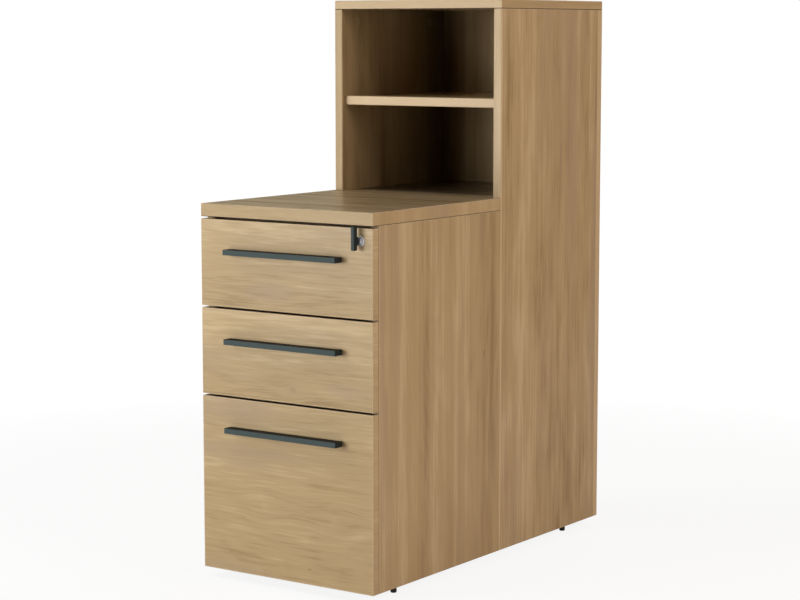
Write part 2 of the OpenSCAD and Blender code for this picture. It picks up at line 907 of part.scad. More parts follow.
// The cam plate turns with the plug and lifts the lock bar with its pin
module lock_cam() {
    color("silver")
        translate([lock_x, cam_y, lock_z]) {
            rotate([-90, 0, 0]) linear_extrude(cam_t) cam_plan();
            rod_y([pin_x, cam_t / 2, pin_z], cam_pin_end_y - cam_y - cam_t / 2, cam_pin_dia / 2);
            rod_y([0, barrel_end_y - cam_y, 0], cam_y - barrel_end_y + cam_t / 2, cam_pin_dia);
        }
}

// The cam's hub and arm, with z pointing down in this plan
module cam_plan() {
    pin_at = [pin_x, -pin_z];
    arm_w = cam_pin_dia + cam_t;
    circle(d = plug_dia);
    translate(pin_at) circle(d = cam_pin_dia + 2 * cam_t);
    rotate(atan2(pin_at.y, pin_at.x)) translate([0, -arm_w / 2]) square([cam_throw, arm_w]);
}

// The steel key: a shank in front of the lock and a blade inside the plug
module key_shank() {
    blade_in = front_t - fit_clear;
    shank_y = front_y - key_reach + key_bow_d;
    plug_y = front_y - lock_face_t - plug_proud;
    color("silver")
        translate([lock_x - key_shank_t / 2, 0, lock_z]) {
            translate([0, shank_y, -key_shank_h / 2])
                cube([key_shank_t, plug_y - shank_y, key_shank_h]);
            translate([0, plug_y - cut, -key_blade_h / 2])
                cube([key_shank_t, blade_in + cut, key_blade_h]);
        }
}

// The bow is an upright bar beside the shank, round at the front and hollowed along its sides
module key_bow() {
    r = key_bow_t / 2;
    hollow_deep = 0.4;
    hollow_w = key_bow_d - r - 2 * hollow_deep;
    hollow_r = (hollow_w * hollow_w / 4 + hollow_deep * hollow_deep) / (2 * hollow_deep);
    hollow_end = 4;
    hub_w = key_bow_side + r - key_shank_t / 2;
    hub_len = key_reach - key_bow_d - lock_face_t - plug_proud - fit_clear + cut;
    color("darkslategray")
        translate([lock_x - key_bow_side, front_y - key_reach, lock_z]) {
            translate([0, 0, key_bow_lift - key_bow_h / 2])
                difference() {
                    linear_extrude(key_bow_h) {
                        translate([0, r]) circle(r = r);
                        translate([-r, r]) square([2 * r, key_bow_d - r]);
                    }
                    for (s = [-1, 1])
                        translate([s * (r + hollow_r - hollow_deep), (r + key_bow_d) / 2, hollow_end])
                            cylinder(h = key_bow_h - 2 * hollow_end, r = hollow_r, $fn = 96);
                }
            translate([-r, key_bow_d - cut, -key_hub_h / 2]) cube([hub_w, hub_len, key_hub_h]);
        }
}

// The lock bar slides up the right side panel and puts a catch in front of each hook
module lock_bar() {
    bar_x = inner_x - bar_t - hole_clear;
    color("silver") {
        translate([bar_x, bar_y, bar_low_z]) cube([bar_t, bar_w, bar_high_z - bar_low_z]);
        for (z = hook_z)
            translate([bar_x - catch_in, catch_y, z - catch_drop - catch_h / 2])
                cube([catch_in + bar_t, catch_t, catch_h]);
        lock_fork(bar_x);
    }
}

// The fork at the head of the bar, open to the left, takes the cam pin
module lock_fork(bar_x) {
    slot_z = lock_z + pin_z;
    fork_x = lock_x - cam_throw - cam_pin_dia;
    arm = 3.2;
    translate([fork_x, fork_y, slot_z - fork_gap / 2 - arm])
        difference() {
            cube([bar_x - fork_x + bar_t, fork_t, fork_gap + 2 * arm]);
            translate([-cut, -cut, arm])
                cube([cam_throw + cam_pin_dia + cut - pin_x / 2, fork_t + 2 * cut, fork_gap]);
        }
}

// Plastic guides hold the bar to the side panel between the slides
module lock_bar_guides() {
    wall = 2.5;
    cover = 2;
    channel_t = bar_t + 2 * hole_clear;
    guide_w = bar_w + 2 * wall;
    color("dimgray")
        for (z = guide_z)
            translate([inner_x - channel_t - cover, bar_y - wall, z])
                difference() {
                    cube([channel_t + cover, guide_w, guide_h]);
                    translate([cover, wall - fit_clear, -cut])
                        cube([channel_t + cut, bar_w + 2 * fit_clear, guide_h + 2 * cut]);
                }
}

pedestal_top();
pedestal_side_left();
pedestal_side_right();
tower_side_left();
tower_side_right();
tower_top();
back_panel();
base_panel();
front_rail();
bookshelf();
panel_fittings();
glide_sockets();
lock_bar_guides();
front_bumpers();
slide_screws();
cabinet_rails(0);  // cabinet_rails_1
cabinet_rails(1);  // cabinet_rails_2
cabinet_rails(2);  // cabinet_rails_3
middle_rails(0);  // middle_rails_1
middle_rails(1);  // middle_rails_2
middle_rails(2);  // middle_rails_3
drawer_rails(0);  // drawer_rails_1
drawer_rails(1);  // drawer_rails_2
drawer_rails(2);  // drawer_rails_3
outer_cages(0);  // outer_cages_1
outer_cages(1);  // outer_cages_2
outer_cages(2);  // outer_cages_3
outer_balls(0);  // outer_balls_1
outer_balls(1);  // outer_balls_2
outer_balls(2);  // outer_balls_3
inner_cages(0);  // inner_cages_1
inner_cages(1);  // inner_cages_2
inner_cages(2);  // inner_cages_3
inner_balls(0);  // inner_balls_1
inner_balls(1);  // inner_balls_2
inner_balls(2);  // inner_balls_3
drawer_front(0);  // drawer_front_1
drawer_front(1);  // drawer_front_2
drawer_front(2);  // drawer_front_3
drawer_tray(0);  // drawer_tray_1
drawer_tray(1);  // drawer_tray_2
drawer_tray(2);  // drawer_tray_3
handle(0);  // handle_1
handle(1);  // handle_2
handle(2);  // handle_3
handle_screws(0);  // handle_screws_1
handle_screws(1);  // handle_screws_2
handle_screws(2);  // handle_screws_3
hanging_file_rails();
lock_bar();
lock_housing();
lock_plug();
lock_cam();
key_shank();
key_bow();
glide_front_left();
glide_front_right();
glide_rear_left();
glide_rear_right();
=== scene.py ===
"""Looks of the drawer pedestal with its bookcase tower: finishes, fine pieces, studio and camera."""

import json
import logging
import math
from dataclasses import dataclass
from enum import IntEnum
from typing import Union

import bmesh
import bpy
import numpy as np
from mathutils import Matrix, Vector


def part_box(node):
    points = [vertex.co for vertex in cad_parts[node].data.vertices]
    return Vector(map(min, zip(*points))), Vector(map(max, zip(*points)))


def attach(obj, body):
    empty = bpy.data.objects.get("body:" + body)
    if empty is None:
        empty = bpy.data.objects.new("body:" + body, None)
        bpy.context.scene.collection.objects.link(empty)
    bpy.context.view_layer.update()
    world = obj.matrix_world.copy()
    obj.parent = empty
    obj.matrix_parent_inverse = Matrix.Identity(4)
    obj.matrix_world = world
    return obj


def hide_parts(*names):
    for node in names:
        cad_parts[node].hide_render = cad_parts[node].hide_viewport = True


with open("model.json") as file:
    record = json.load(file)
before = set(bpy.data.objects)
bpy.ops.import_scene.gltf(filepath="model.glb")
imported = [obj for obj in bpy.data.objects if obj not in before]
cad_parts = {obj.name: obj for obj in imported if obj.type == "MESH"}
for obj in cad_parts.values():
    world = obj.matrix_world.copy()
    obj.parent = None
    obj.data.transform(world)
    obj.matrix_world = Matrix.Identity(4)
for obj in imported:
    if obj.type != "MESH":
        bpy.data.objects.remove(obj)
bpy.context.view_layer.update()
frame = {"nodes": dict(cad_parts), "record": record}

log = logging.getLogger("scene")

Colour = tuple[float, float, float]
Value = Union["Term", float]
Inputs = dict[str | int, Union["Term", float, Colour]]

# A face counts as pointing along an axis above SQUARE. Eased edges stay below FLAT on every axis.
SQUARE = 0.8
FLAT = 0.9
# In metres: what is nearer to a plane than FLUSH lies in it, and drawn lines blur by BLUR to each side.
FLUSH = 0.0006
BLUR = 0.0003
# The painted shade along the lower edge of a board fades out between these heights above its lower face, in
# metres.
PAINTED_SHADE_SPAN = (0.0016, 0.0006)


class Axis(IntEnum):
    """A direction of the row frame, as an index into x, y, z."""

    X = 0
    Y = 1
    Z = 2


X, Y, Z = Axis


class Term:
    """A value in a shader. Python's operators on it add Math nodes."""

    def __init__(self, graph: "Graph", socket: bpy.types.NodeSocket) -> None:
        """Keeps the tree and the output."""
        self.graph = graph
        self.socket = socket

    def __add__(self, other: Value) -> "Term":
        """The sum."""
        return self.graph.math("ADD", self, other)

    def __radd__(self, other: Value) -> "Term":
        """The sum, with a plain number first."""
        return self.graph.math("ADD", other, self)

    def __sub__(self, other: Value) -> "Term":
        """The difference."""
        return self.graph.math("SUBTRACT", self, other)

    def __rsub__(self, other: Value) -> "Term":
        """A plain number less this value."""
        return self.graph.math("SUBTRACT", other, self)

    def __mul__(self, other: Value) -> "Term":
        """The product."""
        return self.graph.math("MULTIPLY", self, other)

    def __rmul__(self, other: Value) -> "Term":
        """The product, with a plain number first."""
        return self.graph.math("MULTIPLY", other, self)

    def __lt__(self, other: Value) -> "Term":
        """1 where this value is the smaller one, and 0 elsewhere."""
        return self.graph.math("LESS_THAN", self, other)

    def __gt__(self, other: Value) -> "Term":
        """1 where this value is the larger one, and 0 elsewhere."""
        return self.graph.math("GREATER_THAN", self, other)

    def __abs__(self) -> "Term":
        """The value without its sign."""
        return self.graph.math("ABSOLUTE", self)

    def fract(self) -> "Term":
        """The part after the decimal point."""
        return self.graph.math("FRACT", self)

    def at_most(self, other: Value) -> "Term":
        """The smaller of two values."""
        return self.graph.math("MINIMUM", self, other)

    def at_least(self, other: Value) -> "Term":
        """The larger of two values."""
        return self.graph.math("MAXIMUM", self, other)

    def share(self) -> "Term":
        """The value, held between 0 and 1."""
        return self.at_least(0.0).at_most(1.0)

    def ease(self, low: float, high: float) -> "Term":
        """0 below low, 1 above high, and smooth in between. low may be the larger one."""
        inputs = {"Value": self, "From Min": low, "From Max": high}
        return self.graph.node("ShaderNodeMapRange", inputs, interpolation_type="SMOOTHSTEP")

    def blend(self, first: Value, second: Value) -> "Term":
        """Goes from one value to another.

        Args:
            first: the value where this one is 0.
            second: the value where this one is 1.

        Returns:
            The value in between.
        """
        if isinstance(second, Term):
            return first + (second - first) * self
        return first * (1 - self) + second * self


class Graph:
    """The node tree of a new material, or a tree that is handed in."""

    def __init__(self, name: str, tree: bpy.types.NodeTree | None = None) -> None:
        """Starts with an empty tree.

        Args:
            name: name of the new material.
            tree: the tree to fill in place of a new material's.
        """
        if tree is None:
            self.material = bpy.data.materials.new(name)
            self.material.use_nodes = True
            tree = self.material.node_tree
        self.tree = tree
        self.tree.nodes.clear()

    def put(self, socket: bpy.types.NodeSocket, value: Value | Colour) -> None:
        """Links a term to a socket, or sets the socket's own value.

        Args:
            socket: the input.
            value: the term, the number or the colour.
        """
        if isinstance(value, Term):
            self.tree.links.new(value.socket, socket)
        elif isinstance(value, tuple):
            socket.default_value = (*value, 1.0)
        else:
            socket.default_value = value

    def add(self, kind: str, inputs: Inputs | None = None, **settings: object) -> bpy.types.Node:
        """Adds any node.

        Args:
            kind: Blender's name of the node type.
            inputs: values by socket name or number.
            **settings: the node's own properties.

        Returns:
            The new node.
        """
        made = self.tree.nodes.new(kind)
        for name, value in settings.items():
            setattr(made, name, value)
        for name, value in (inputs or {}).items():
            self.put(made.inputs[name], value)
        return made

    def node(
        self, kind: str, inputs: Inputs | None = None, output: int | str = 0, **settings: object
    ) -> Term:
        """Adds any node, as add does, and gives one of its outputs."""
        return Term(self, self.add(kind, inputs, **settings).outputs[output])

    def math(self, operation: str, first: Value, second: Value = 0.0) -> Term:
        """A Math node on one or two values."""
        return self.node("ShaderNodeMath", {0: first, 1: second}, operation=operation)

    def point(self, x: Value, y: Value, z: Value) -> Term:
        """A vector from three numbers."""
        return self.node("ShaderNodeCombineXYZ", {0: x, 1: y, 2: z})

    def parts(self, vector: Term) -> list[Term]:
        """The three numbers of a vector."""
        made = self.add("ShaderNodeSeparateXYZ", {0: vector})
        return [Term(self, socket) for socket in made.outputs]

    def position(self) -> list[Term]:
        """x, y and z on the piece at rest, in metres."""
        return self.parts(self.node("ShaderNodeTexCoord", output="Object"))

    def facing(self) -> list[Term]:
        """How squarely a face points along x, y and z, from 0 to 1."""
        return [abs(t) for t in self.parts(self.node("ShaderNodeNewGeometry", output="True Normal"))]

    def noise(self, vector: Term, scale: float = 1.0, detail: float = 2.0, rough: float = 0.5) -> Term:
        """Smooth noise around 0, mostly between -0.3 and 0.3."""
        inputs = {"Vector": vector, "Scale": scale, "Detail": detail, "Roughness": rough}
        return self.node("ShaderNodeTexNoise", inputs) - 0.5

    def texture(self, steps: list[float], detail: float = 2.0) -> Term:
        """Noise that is fixed to the piece, with its steps per metre along x, y and z."""
        return self.noise(self.point(*[p * s for p, s in zip(self.position(), steps)]), detail=detail)

    def mix(self, amount: Term, first: Term | Colour, second: Term | Colour) -> Term:
        """A colour between two colours."""
        inputs = {0: amount, 6: first, 7: second}
        return self.node("ShaderNodeMix", inputs, output=2, data_type="RGBA")

    def bump(self, height: Term, distance: float, strength: float = 1.0) -> Term:
        """A normal from a height field, whose steps are distance metres deep."""
        inputs = {"Height": height, "Distance": distance, "Strength": strength}
        return self.node("ShaderNodeBump", inputs)

    def surface(self, **inputs: Value | Colour) -> bpy.types.Material:
        """Ends the tree with a Principled shader.

        Args:
            **inputs: the shader's inputs, with underscores for the spaces in their names.

        Returns:
            The finished material.
        """
        named = {name.replace("_", " "): value for name, value in inputs.items()}
        self.add("ShaderNodeOutputMaterial", {"Surface": self.node("ShaderNodeBsdfPrincipled", named)})
        return self.material


@dataclass(frozen=True)
class Tones:
    """Colours of the oak print and of the painted shade, in linear light.

    Attributes:
        dark: in the grain.
        middle: of most of the print.
        light: between the grain.
        smoke: of its greyish patches.
        honey: of its yellowish patches.
        band: of the edge bands, and of the painted highlight on eased edges.
        seam: of the painted shade under boards, next to gaps and in corners.
    """

    dark: Colour
    middle: Colour
    light: Colour
    smoke: Colour
    honey: Colour
    band: Colour
    seam: Colour = (0.02, 0.012, 0.006)


@dataclass(frozen=True)
class Knot:
    """A knot or a mark in the print.

    Attributes:
        along: its place along the grain, in metres.
        across: its place across the grain.
        size: its radius across the grain.
        dark: how much darker its middle is.
        haze: strength of the greyish print around it.
        core: how much of that its core lacks.
        flow: how far the grain bends round it.
        long: how many times longer it is along the grain than across.
    """

    along: float
    across: float
    size: float = 0.005
    dark: float = 0.3
    haze: float = 0.0
    core: float = 0.0
    flow: float = 0.55
    long: float = 2.2

    def near(self, along: Term, across: Term, grow: float = 1.0) -> Term:
        """1 in the middle of the knot, falling to 0 at its edge.

        Args:
            along: distance along the grain.
            across: distance across the grain.
            grow: how many times wider than the knot this reaches.

        Returns:
            The share.
        """
        da = (along - self.along) * (1.0 / (self.size * self.long * grow))
        dc = (across - self.across) * (1.0 / (self.size * grow))
        return (da * da + dc * dc).ease(1.0, 0.0)


@dataclass(frozen=True)
class Layer:
    """A layer of noise in the print, stretched along the grain.

    Attributes:
        along: its steps per metre along the grain.
        across: its steps per metre across the grain.
        offset: what is added to the board's seed.
        detail: how many finer layers it has.
        rough: how strong those are.
    """

    along: float
    across: float
    offset: float
    detail: float = 1.0
    rough: float = 0.5

    def on(self, g: Graph, along: Term, across: Term, seed: float, short: float = 1.0) -> Term:
        """The noise of one board, with its steps short times shorter along the grain."""
        place = g.point(along * (self.along * short), across * self.across, seed + self.offset)
        return g.noise(place, detail=self.detail, rough=self.rough)


WANDER = Layer(1.3, 4.5, 0.0)
BANDS = Layer(0.25, 24.0, 3.0)
STREAKS = Layer(1.4, 66.0, 7.0, detail=4.0, rough=0.62)
FIBRES = Layer(10.0, 520.0, 13.0, detail=2.0)
HILLS = Layer(0.8, 4.0, 17.0)
MOTTLE = Layer(7.0, 30.0, 23.0, detail=3.0)
PORES = Layer(60.0, 1900.0, 29.0)
SMOKE = Layer(1.0, 12.0, 31.0, detail=2.0)
HONEY = Layer(0.6, 19.0, 37.0, detail=2.0)
VEINS = Layer(0.9, 42.0, 43.0)
LINES = Layer(5.0, 210.0, 53.0, detail=2.0, rough=0.6)


@dataclass(frozen=True)
class Grain:
    """How strong the parts of the figure are.

    Attributes:
        bands: straight bands along the grain, 20 to 40 mm wide.
        mottle: short cloudy patches.
        streaks: fine streaks.
        lines: thin lines, 2 to 5 mm wide.
        wander: how far the grain wanders sideways, in metres.
        arches: the arched figure.
        patch_along: steps of the coloured patches per metre along the grain.
        veins: a few long dark veins.
        short: how many times shorter the bands, streaks and lines are than on the sides.
        fibres: the finest lines.
        pores: the dark pores.
        tone: the mean tone, from 0, dark, to 1, light.
    """

    bands: float
    mottle: float
    streaks: float
    lines: float
    wander: float
    arches: float
    patch_along: float
    veins: float = 0.2
    short: float = 1.0
    fibres: float = 0.45
    pores: float = 0.07
    tone: float = 0.54


@dataclass(frozen=True)
class Corner:
    """A soft shade where another board stands against a face of this one.

    Attributes:
        face: axis that the shaded face points along.
        sign: whether it points up or down that axis.
        other: the other board.
        away: axis along which the shade fades.
        side: which face of the other board makes the corner.
        reach: how far the shade reaches, in metres.
        depth: how dark it gets, from 0 to 1.
        steep: how many times sooner than at the corner itself it gets there.
    """

    face: Axis
    sign: int
    other: str
    away: Axis
    side: int
    reach: float
    depth: float
    steep: float = 1.0

    def shade(self, node: str, place: list[Term]) -> Term:
        """The shade on one node.

        Args:
            node: the node.
            place: x, y and z on it.

        Returns:
            Its strength, from 0 to depth.
        """
        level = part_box(node)[self.sign > 0][self.face]
        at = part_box(self.other)[self.side > 0][self.away]
        on_face = abs(place[self.face] - level) < FLUSH
        near = abs(place[self.away] - at).ease(self.reach, 0.0) * self.steep
        return near.at_most(1.0) * on_face * self.depth


@dataclass(frozen=True)
class Board:
    """The print of one laminated board.

    Attributes:
        node: the CAD node.
        along: direction of the grain.
        across: the board's other wide direction.
        grain: its figure.
        seed: picks its own piece of the print.
        end_grain: direction of the print on the end faces.
        banded: faces with an edge band, as axis and sign.
        knots: knots in the wide faces.
        lift: how much lighter the whole board is.
        fade: how much lighter its high side is than its low side, across the grain.
        band_share: strength of the band's colour on the banded faces.
        painted_shade_below: whether a painted shade runs round its lower edge.
        gap_shade: strength of the painted shade on its upward and downward edges, next to a gap.
        lacquer: strength of the shine of its level faces.
        calm: how much weaker the figure is on its front and side edges.
        corners: shades in the corners with other boards.
        lipping: how wide its bands show on the faces beside them, in metres.
        edge_shift: shift of the print on its edges, so that they have their own figure.
        end_shift: the same on its ends.
        calm_tone: the tone that a calm figure goes towards.
    """

    node: str
    along: Axis
    across: Axis
    grain: Grain
    seed: float
    end_grain: Axis
    banded: tuple[tuple[Axis, int], ...] = ()
    knots: tuple[Knot, ...] = ()
    lift: float = 0.0
    fade: float = 0.0
    band_share: float = 0.5
    painted_shade_below: bool = False
    gap_shade: float = 0.0
    lacquer: float = 0.0
    calm: float = 0.0
    corners: tuple[Corner, ...] = ()
    lipping: float = 0.002
    edge_shift: float = 0.31
    end_shift: float = 0.47
    calm_tone: float = 0.65

    def beside(self, other: Axis) -> Axis:
        """The direction that is neither the grain's nor the other one."""
        return next(axis for axis in Axis if axis not in (self.along, other))

    def material(self) -> bpy.types.Material:
        """Builds the material of this board.

        Returns:
            The new material.
        """
        g = Graph(f"oak_{self.node}")
        place, faces = g.position(), g.facing()
        on_end = faces[self.along] > SQUARE
        on_edge = faces[self.across] > SQUARE
        along = on_end.blend(place[self.along], place[self.end_grain])
        flat = on_edge.blend(place[self.across], place[self.beside(self.across)] + self.edge_shift)
        across = on_end.blend(flat, place[self.beside(self.end_grain)] + self.end_shift)
        tone, height = self.figure(g, along, across)
        if self.calm:
            upright = (faces[X] > SQUARE).at_least(faces[Y] > SQUARE)
            tone = (upright * self.calm).blend(tone, self.calm_tone)
        low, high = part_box(self.node)
        middle = (low + high) * 0.5
        tone = tone + (place[self.across] - middle[self.across]) * (self.fade / (high - low)[self.across])
        wood = self.print_colour(g, tone, along, across)
        wood = g.mix(self.band_line(place, faces), wood, OAK.band)
        # Painted shade round the lower edge, where the gap under the board lies in shade.
        if self.painted_shade_below:
            under = (place[Z] - low.z).ease(*PAINTED_SHADE_SPAN) * (faces[Z] < FLAT)
            wood = g.mix(under, wood, OAK.seam)
        # Painted shade on the upward and downward faces, next to the gaps.
        if self.gap_shade:
            wood = g.mix((faces[Z] > FLAT) * self.gap_shade, wood, OAK.seam)
        # Painted shade in the corners with other boards.
        for corner in self.corners:
            wood = g.mix(corner.shade(self.node, place), wood, OAK.seam)
        lacquer = ((tone + 0.1) * 1.3).at_most(1.0) * (faces[Z] > FLAT) * self.lacquer
        return g.surface(
            Base_Color=wood, Roughness=0.36 - tone * 0.06, IOR=1.46, Specular_IOR_Level=0.15,
            Coat_Weight=lacquer, Coat_IOR=1.46, Coat_Roughness=0.34, Normal=g.bump(height, 0.00012, 0.3),
        )

    def print_colour(self, g: Graph, tone: Term, along: Term, across: Term) -> Term:
        """The print's colour: three tones of oak with greyish and yellowish patches.

        Args:
            g: the board's tree.
            tone: the tone of the figure.
            along: distance along the grain.
            across: distance across the grain.

        Returns:
            The colour.
        """
        base = g.mix(tone.ease(0.0, 0.5), OAK.dark, OAK.middle)
        wood = g.mix(tone.ease(0.5, 1.0), base, OAK.light)
        smoke = SMOKE.on(g, along, across, self.seed, self.grain.patch_along)
        honey = HONEY.on(g, along, across, self.seed, self.grain.patch_along)
        share = smoke.ease(0.03, 0.25) * 0.6
        for knot in self.knots:
            if knot.haze:
                share = share.at_least(knot.near(along, across, 2.5) * knot.haze)
        wood = g.mix(share, wood, OAK.smoke)
        return g.mix(honey.ease(0.0, 0.3) * 0.5, wood, OAK.honey)

    def figure(self, g: Graph, along: Term, across: Term) -> tuple[Term, Term]:
        """The grain, bent round the knots. The arched figure lies on contour lines of low hills.

        Args:
            g: the board's tree.
            along: distance along the grain.
            across: distance across the grain.

        Returns:
            Its tone from 0, dark, to 1, light, and the height of its pores.
        """
        own, seed = self.grain, self.seed
        bent = across + WANDER.on(g, along, across, seed) * own.wander
        for knot in self.knots:
            if knot.flow:
                bent = bent - knot.near(along, across, 5.0) * (across - knot.across) * knot.flow
        bands = BANDS.on(g, along, bent, seed, own.short)
        streaks = STREAKS.on(g, along, bent, seed, own.short)
        mottle = MOTTLE.on(g, along, bent, seed)
        fibres = FIBRES.on(g, along, bent, seed)
        veins = VEINS.on(g, along, bent, seed).ease(0.14, 0.3)
        contour = (HILLS.on(g, along, bent, seed) * 34.0 + bent * 9.0).fract()
        arches = contour.ease(0.35, 0.9) * contour.ease(1.0, 0.92)
        lines = LINES.on(g, along, bent, seed, own.short)
        pores = PORES.on(g, along, bent, seed).ease(0.1, 0.25)
        tone = own.tone + self.lift + bands * own.bands + streaks * own.streaks + mottle * own.mottle
        tone = tone + lines * own.lines + fibres * own.fibres - veins * own.veins
        tone = tone - arches * own.arches - pores * own.pores
        for knot in self.knots:
            uneven = across + (lines + mottle) * (knot.size * 0.9)
            spot = knot.near(along, uneven)
            if knot.core:
                spot = spot - knot.near(along, uneven, 0.6) * knot.core
            tone = tone - spot * knot.dark
        return tone.share(), fibres * 0.6 - pores

    def band_line(self, place: list[Term], faces: list[Term]) -> Term:
        """Share of the band's colour: on eased edges and band thicknesses, partly as a painted highlight,
        and on banded faces.

        Args:
            place: x, y and z on the board.
            faces: how squarely the face points along them.

        Returns:
            The share.
        """
        low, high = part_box(self.node)
        # On eased edges and beside banded faces the band colour is partly the band's own colour and partly
        # a painted highlight.
        rim = min(0.8, 0.25 + self.band_share)
        share = (faces[X].at_least(faces[Y]).at_least(faces[Z]) < FLAT) * rim
        for axis, sign in self.banded:
            off = abs(place[axis] - (high if sign > 0 else low)[axis])
            beside = off.ease(self.lipping + BLUR, self.lipping - BLUR) * (faces[axis] < 0.5)
            facing = (off < 0.0004) * (faces[axis] > SQUARE)
            share = share.at_least(beside * rim).at_least(facing * self.band_share)
        return share


@dataclass(frozen=True)
class Metal:
    """A metal or painted metal finish.

    Attributes:
        name: the material's name.
        colour: its colour in linear light.
        metallic: 1 for bare metal, 0 for paint.
        rough: mean roughness.
        uneven: how much the roughness varies.
        grain: size of the fine texture in metres.
        depth: height of that texture in metres.
        brushed: direction of brushing, if any.
        painted_shade_above: strength of the painted shade on faces that point up.
        painted_shade_aside: strength of the painted shade on faces that point to a side.
        sheen: strength of the reflection of paint.
        brush: how many times longer a brushed texture is along the brushing.
    """

    name: str
    colour: Colour
    metallic: float
    rough: float
    uneven: float = 0.08
    grain: float = 0.0006
    depth: float = 0.00001
    brushed: Axis | None = None
    painted_shade_above: float = 0.0
    painted_shade_aside: float = 0.0
    sheen: float = 0.5
    brush: float = 12.0

    def material(self) -> bpy.types.Material:
        """Builds the material.

        Returns:
            The new material.
        """
        g = Graph(self.name)
        stretch = [1.0 if self.brushed in (None, axis) else self.brush for axis in Axis]
        fine = g.texture([s / (self.grain * 4) for s in stretch], 3.0)
        cloud = g.texture([18.0] * 3)
        dark = tuple(c * 0.86 for c in self.colour)
        colour = g.mix((0.75 + fine * 0.9 + cloud * 0.7).share(), dark, self.colour)
        # Painted shade: faces that point up or to a side go towards a near-black copy of the colour.
        if self.painted_shade_above or self.painted_shade_aside:
            aside, _, above = g.facing()
            shade = ((above > SQUARE) * self.painted_shade_above).at_least(aside.ease(0.4, SQUARE) * self.painted_shade_aside)
            colour = g.mix(shade, colour, tuple(c * 0.04 for c in self.colour))
        rough = self.rough + (fine + cloud) * self.uneven
        return g.surface(
            Base_Color=colour, Metallic=self.metallic, Roughness=rough, IOR=1.5,
            Specular_IOR_Level=self.sheen, Normal=g.bump(fine, self.depth),
        )


@dataclass(frozen=True)
class Plastic:
    """A moulded plastic or rubber.

    Attributes:
        name: the material's name.
        colour: its colour in linear light.
        rough: mean roughness.
        texture: size of its spark-eroded texture in metres.
    """

    name: str
    colour: Colour
    rough: float
    texture: float = 0.0004

    def material(self) -> bpy.types.Material:
        """Builds the material.

        Returns:
            The new material.
        """
        g = Graph(self.name)
        fine = g.texture([0.3 / self.texture] * 3)
        cloud = g.texture([30.0] * 3)
        light = tuple(min(1.0, c * 1.5 + 0.004) for c in self.colour)
        colour = g.mix((0.35 + fine * 0.5 + cloud * 0.6).share(), self.colour, light)
        return g.surface(
            Base_Color=colour, Roughness=self.rough + fine * 0.15, IOR=1.48, Normal=g.bump(fine, 0.00002)
        )


OAK = Tones(
    dark=(0.301, 0.205, 0.100),
    middle=(0.417, 0.301, 0.158),
    light=(0.525, 0.396, 0.229),
    smoke=(0.361, 0.264, 0.172),
    honey=(0.458, 0.330, 0.163),
    band=(0.610, 0.460, 0.280),
)

FRONT = Grain(0.15, 0.65, 0.4, 1.0, wander=0.05, arches=0.06, patch_along=3.0, veins=0.07, short=2.2)
LID = Grain(2.4, 1.2, 1.6, 0.8, wander=0.02, arches=0.05, patch_along=2.0, veins=0.4, short=4.0)
SHELF = Grain(0.7, 0.4, 1.0, 0.6, wander=0.012, arches=0.05, patch_along=1.5)
SIDE = Grain(0.9, 0.7, 0.8, 0.6, wander=0.006, arches=0.06, patch_along=0.8)
TALL = Grain(0.6, 1.15, 0.95, 1.1, wander=0.006, arches=0.04, patch_along=0.8)

FRONT_EDGE = (Y, -1)
LEFT_EDGE = (X, -1)
RIGHT_EDGE = (X, 1)
FRONT_BANDS = (LEFT_EDGE, RIGHT_EDGE, (Z, 1), (Z, -1))
TOP_BANDS = (FRONT_EDGE, LEFT_EDGE, RIGHT_EDGE)
UNDER_TOP = Corner(Y, -1, "pedestal_top", Z, -1, 0.009, 0.97)
OVER_TOP = Corner(X, 1, "pedestal_top", Z, 1, 0.25, 0.1)
IN_TOWER = Corner(Z, 1, "back_panel", Y, -1, 0.395, 0.8, steep=10.0)
AT_BACK_LEFT = Corner(X, 1, "back_panel", Y, -1, 0.23, 0.75)
AT_BACK_RIGHT = Corner(X, -1, "back_panel", Y, -1, 0.23, 0.75)
BESIDE_SIDES = (
    Corner(Y, -1, "tower_side_left", X, 1, 0.05, 0.6),
    Corner(Y, -1, "tower_side_right", X, -1, 0.05, 0.6),
)


def drawer_front(number: int, seed: float, lift: float, fade: float, *knots: Knot) -> Board:
    """The board of a drawer's front, which has bands all round and painted shade on its edges by the gaps
    above and below.
    """
    return Board(
        f"drawer_front_{number}", X, Z, FRONT, seed, Y, FRONT_BANDS, knots,
        lift=lift, fade=fade, band_share=0.2, gap_shade=0.88,
    )


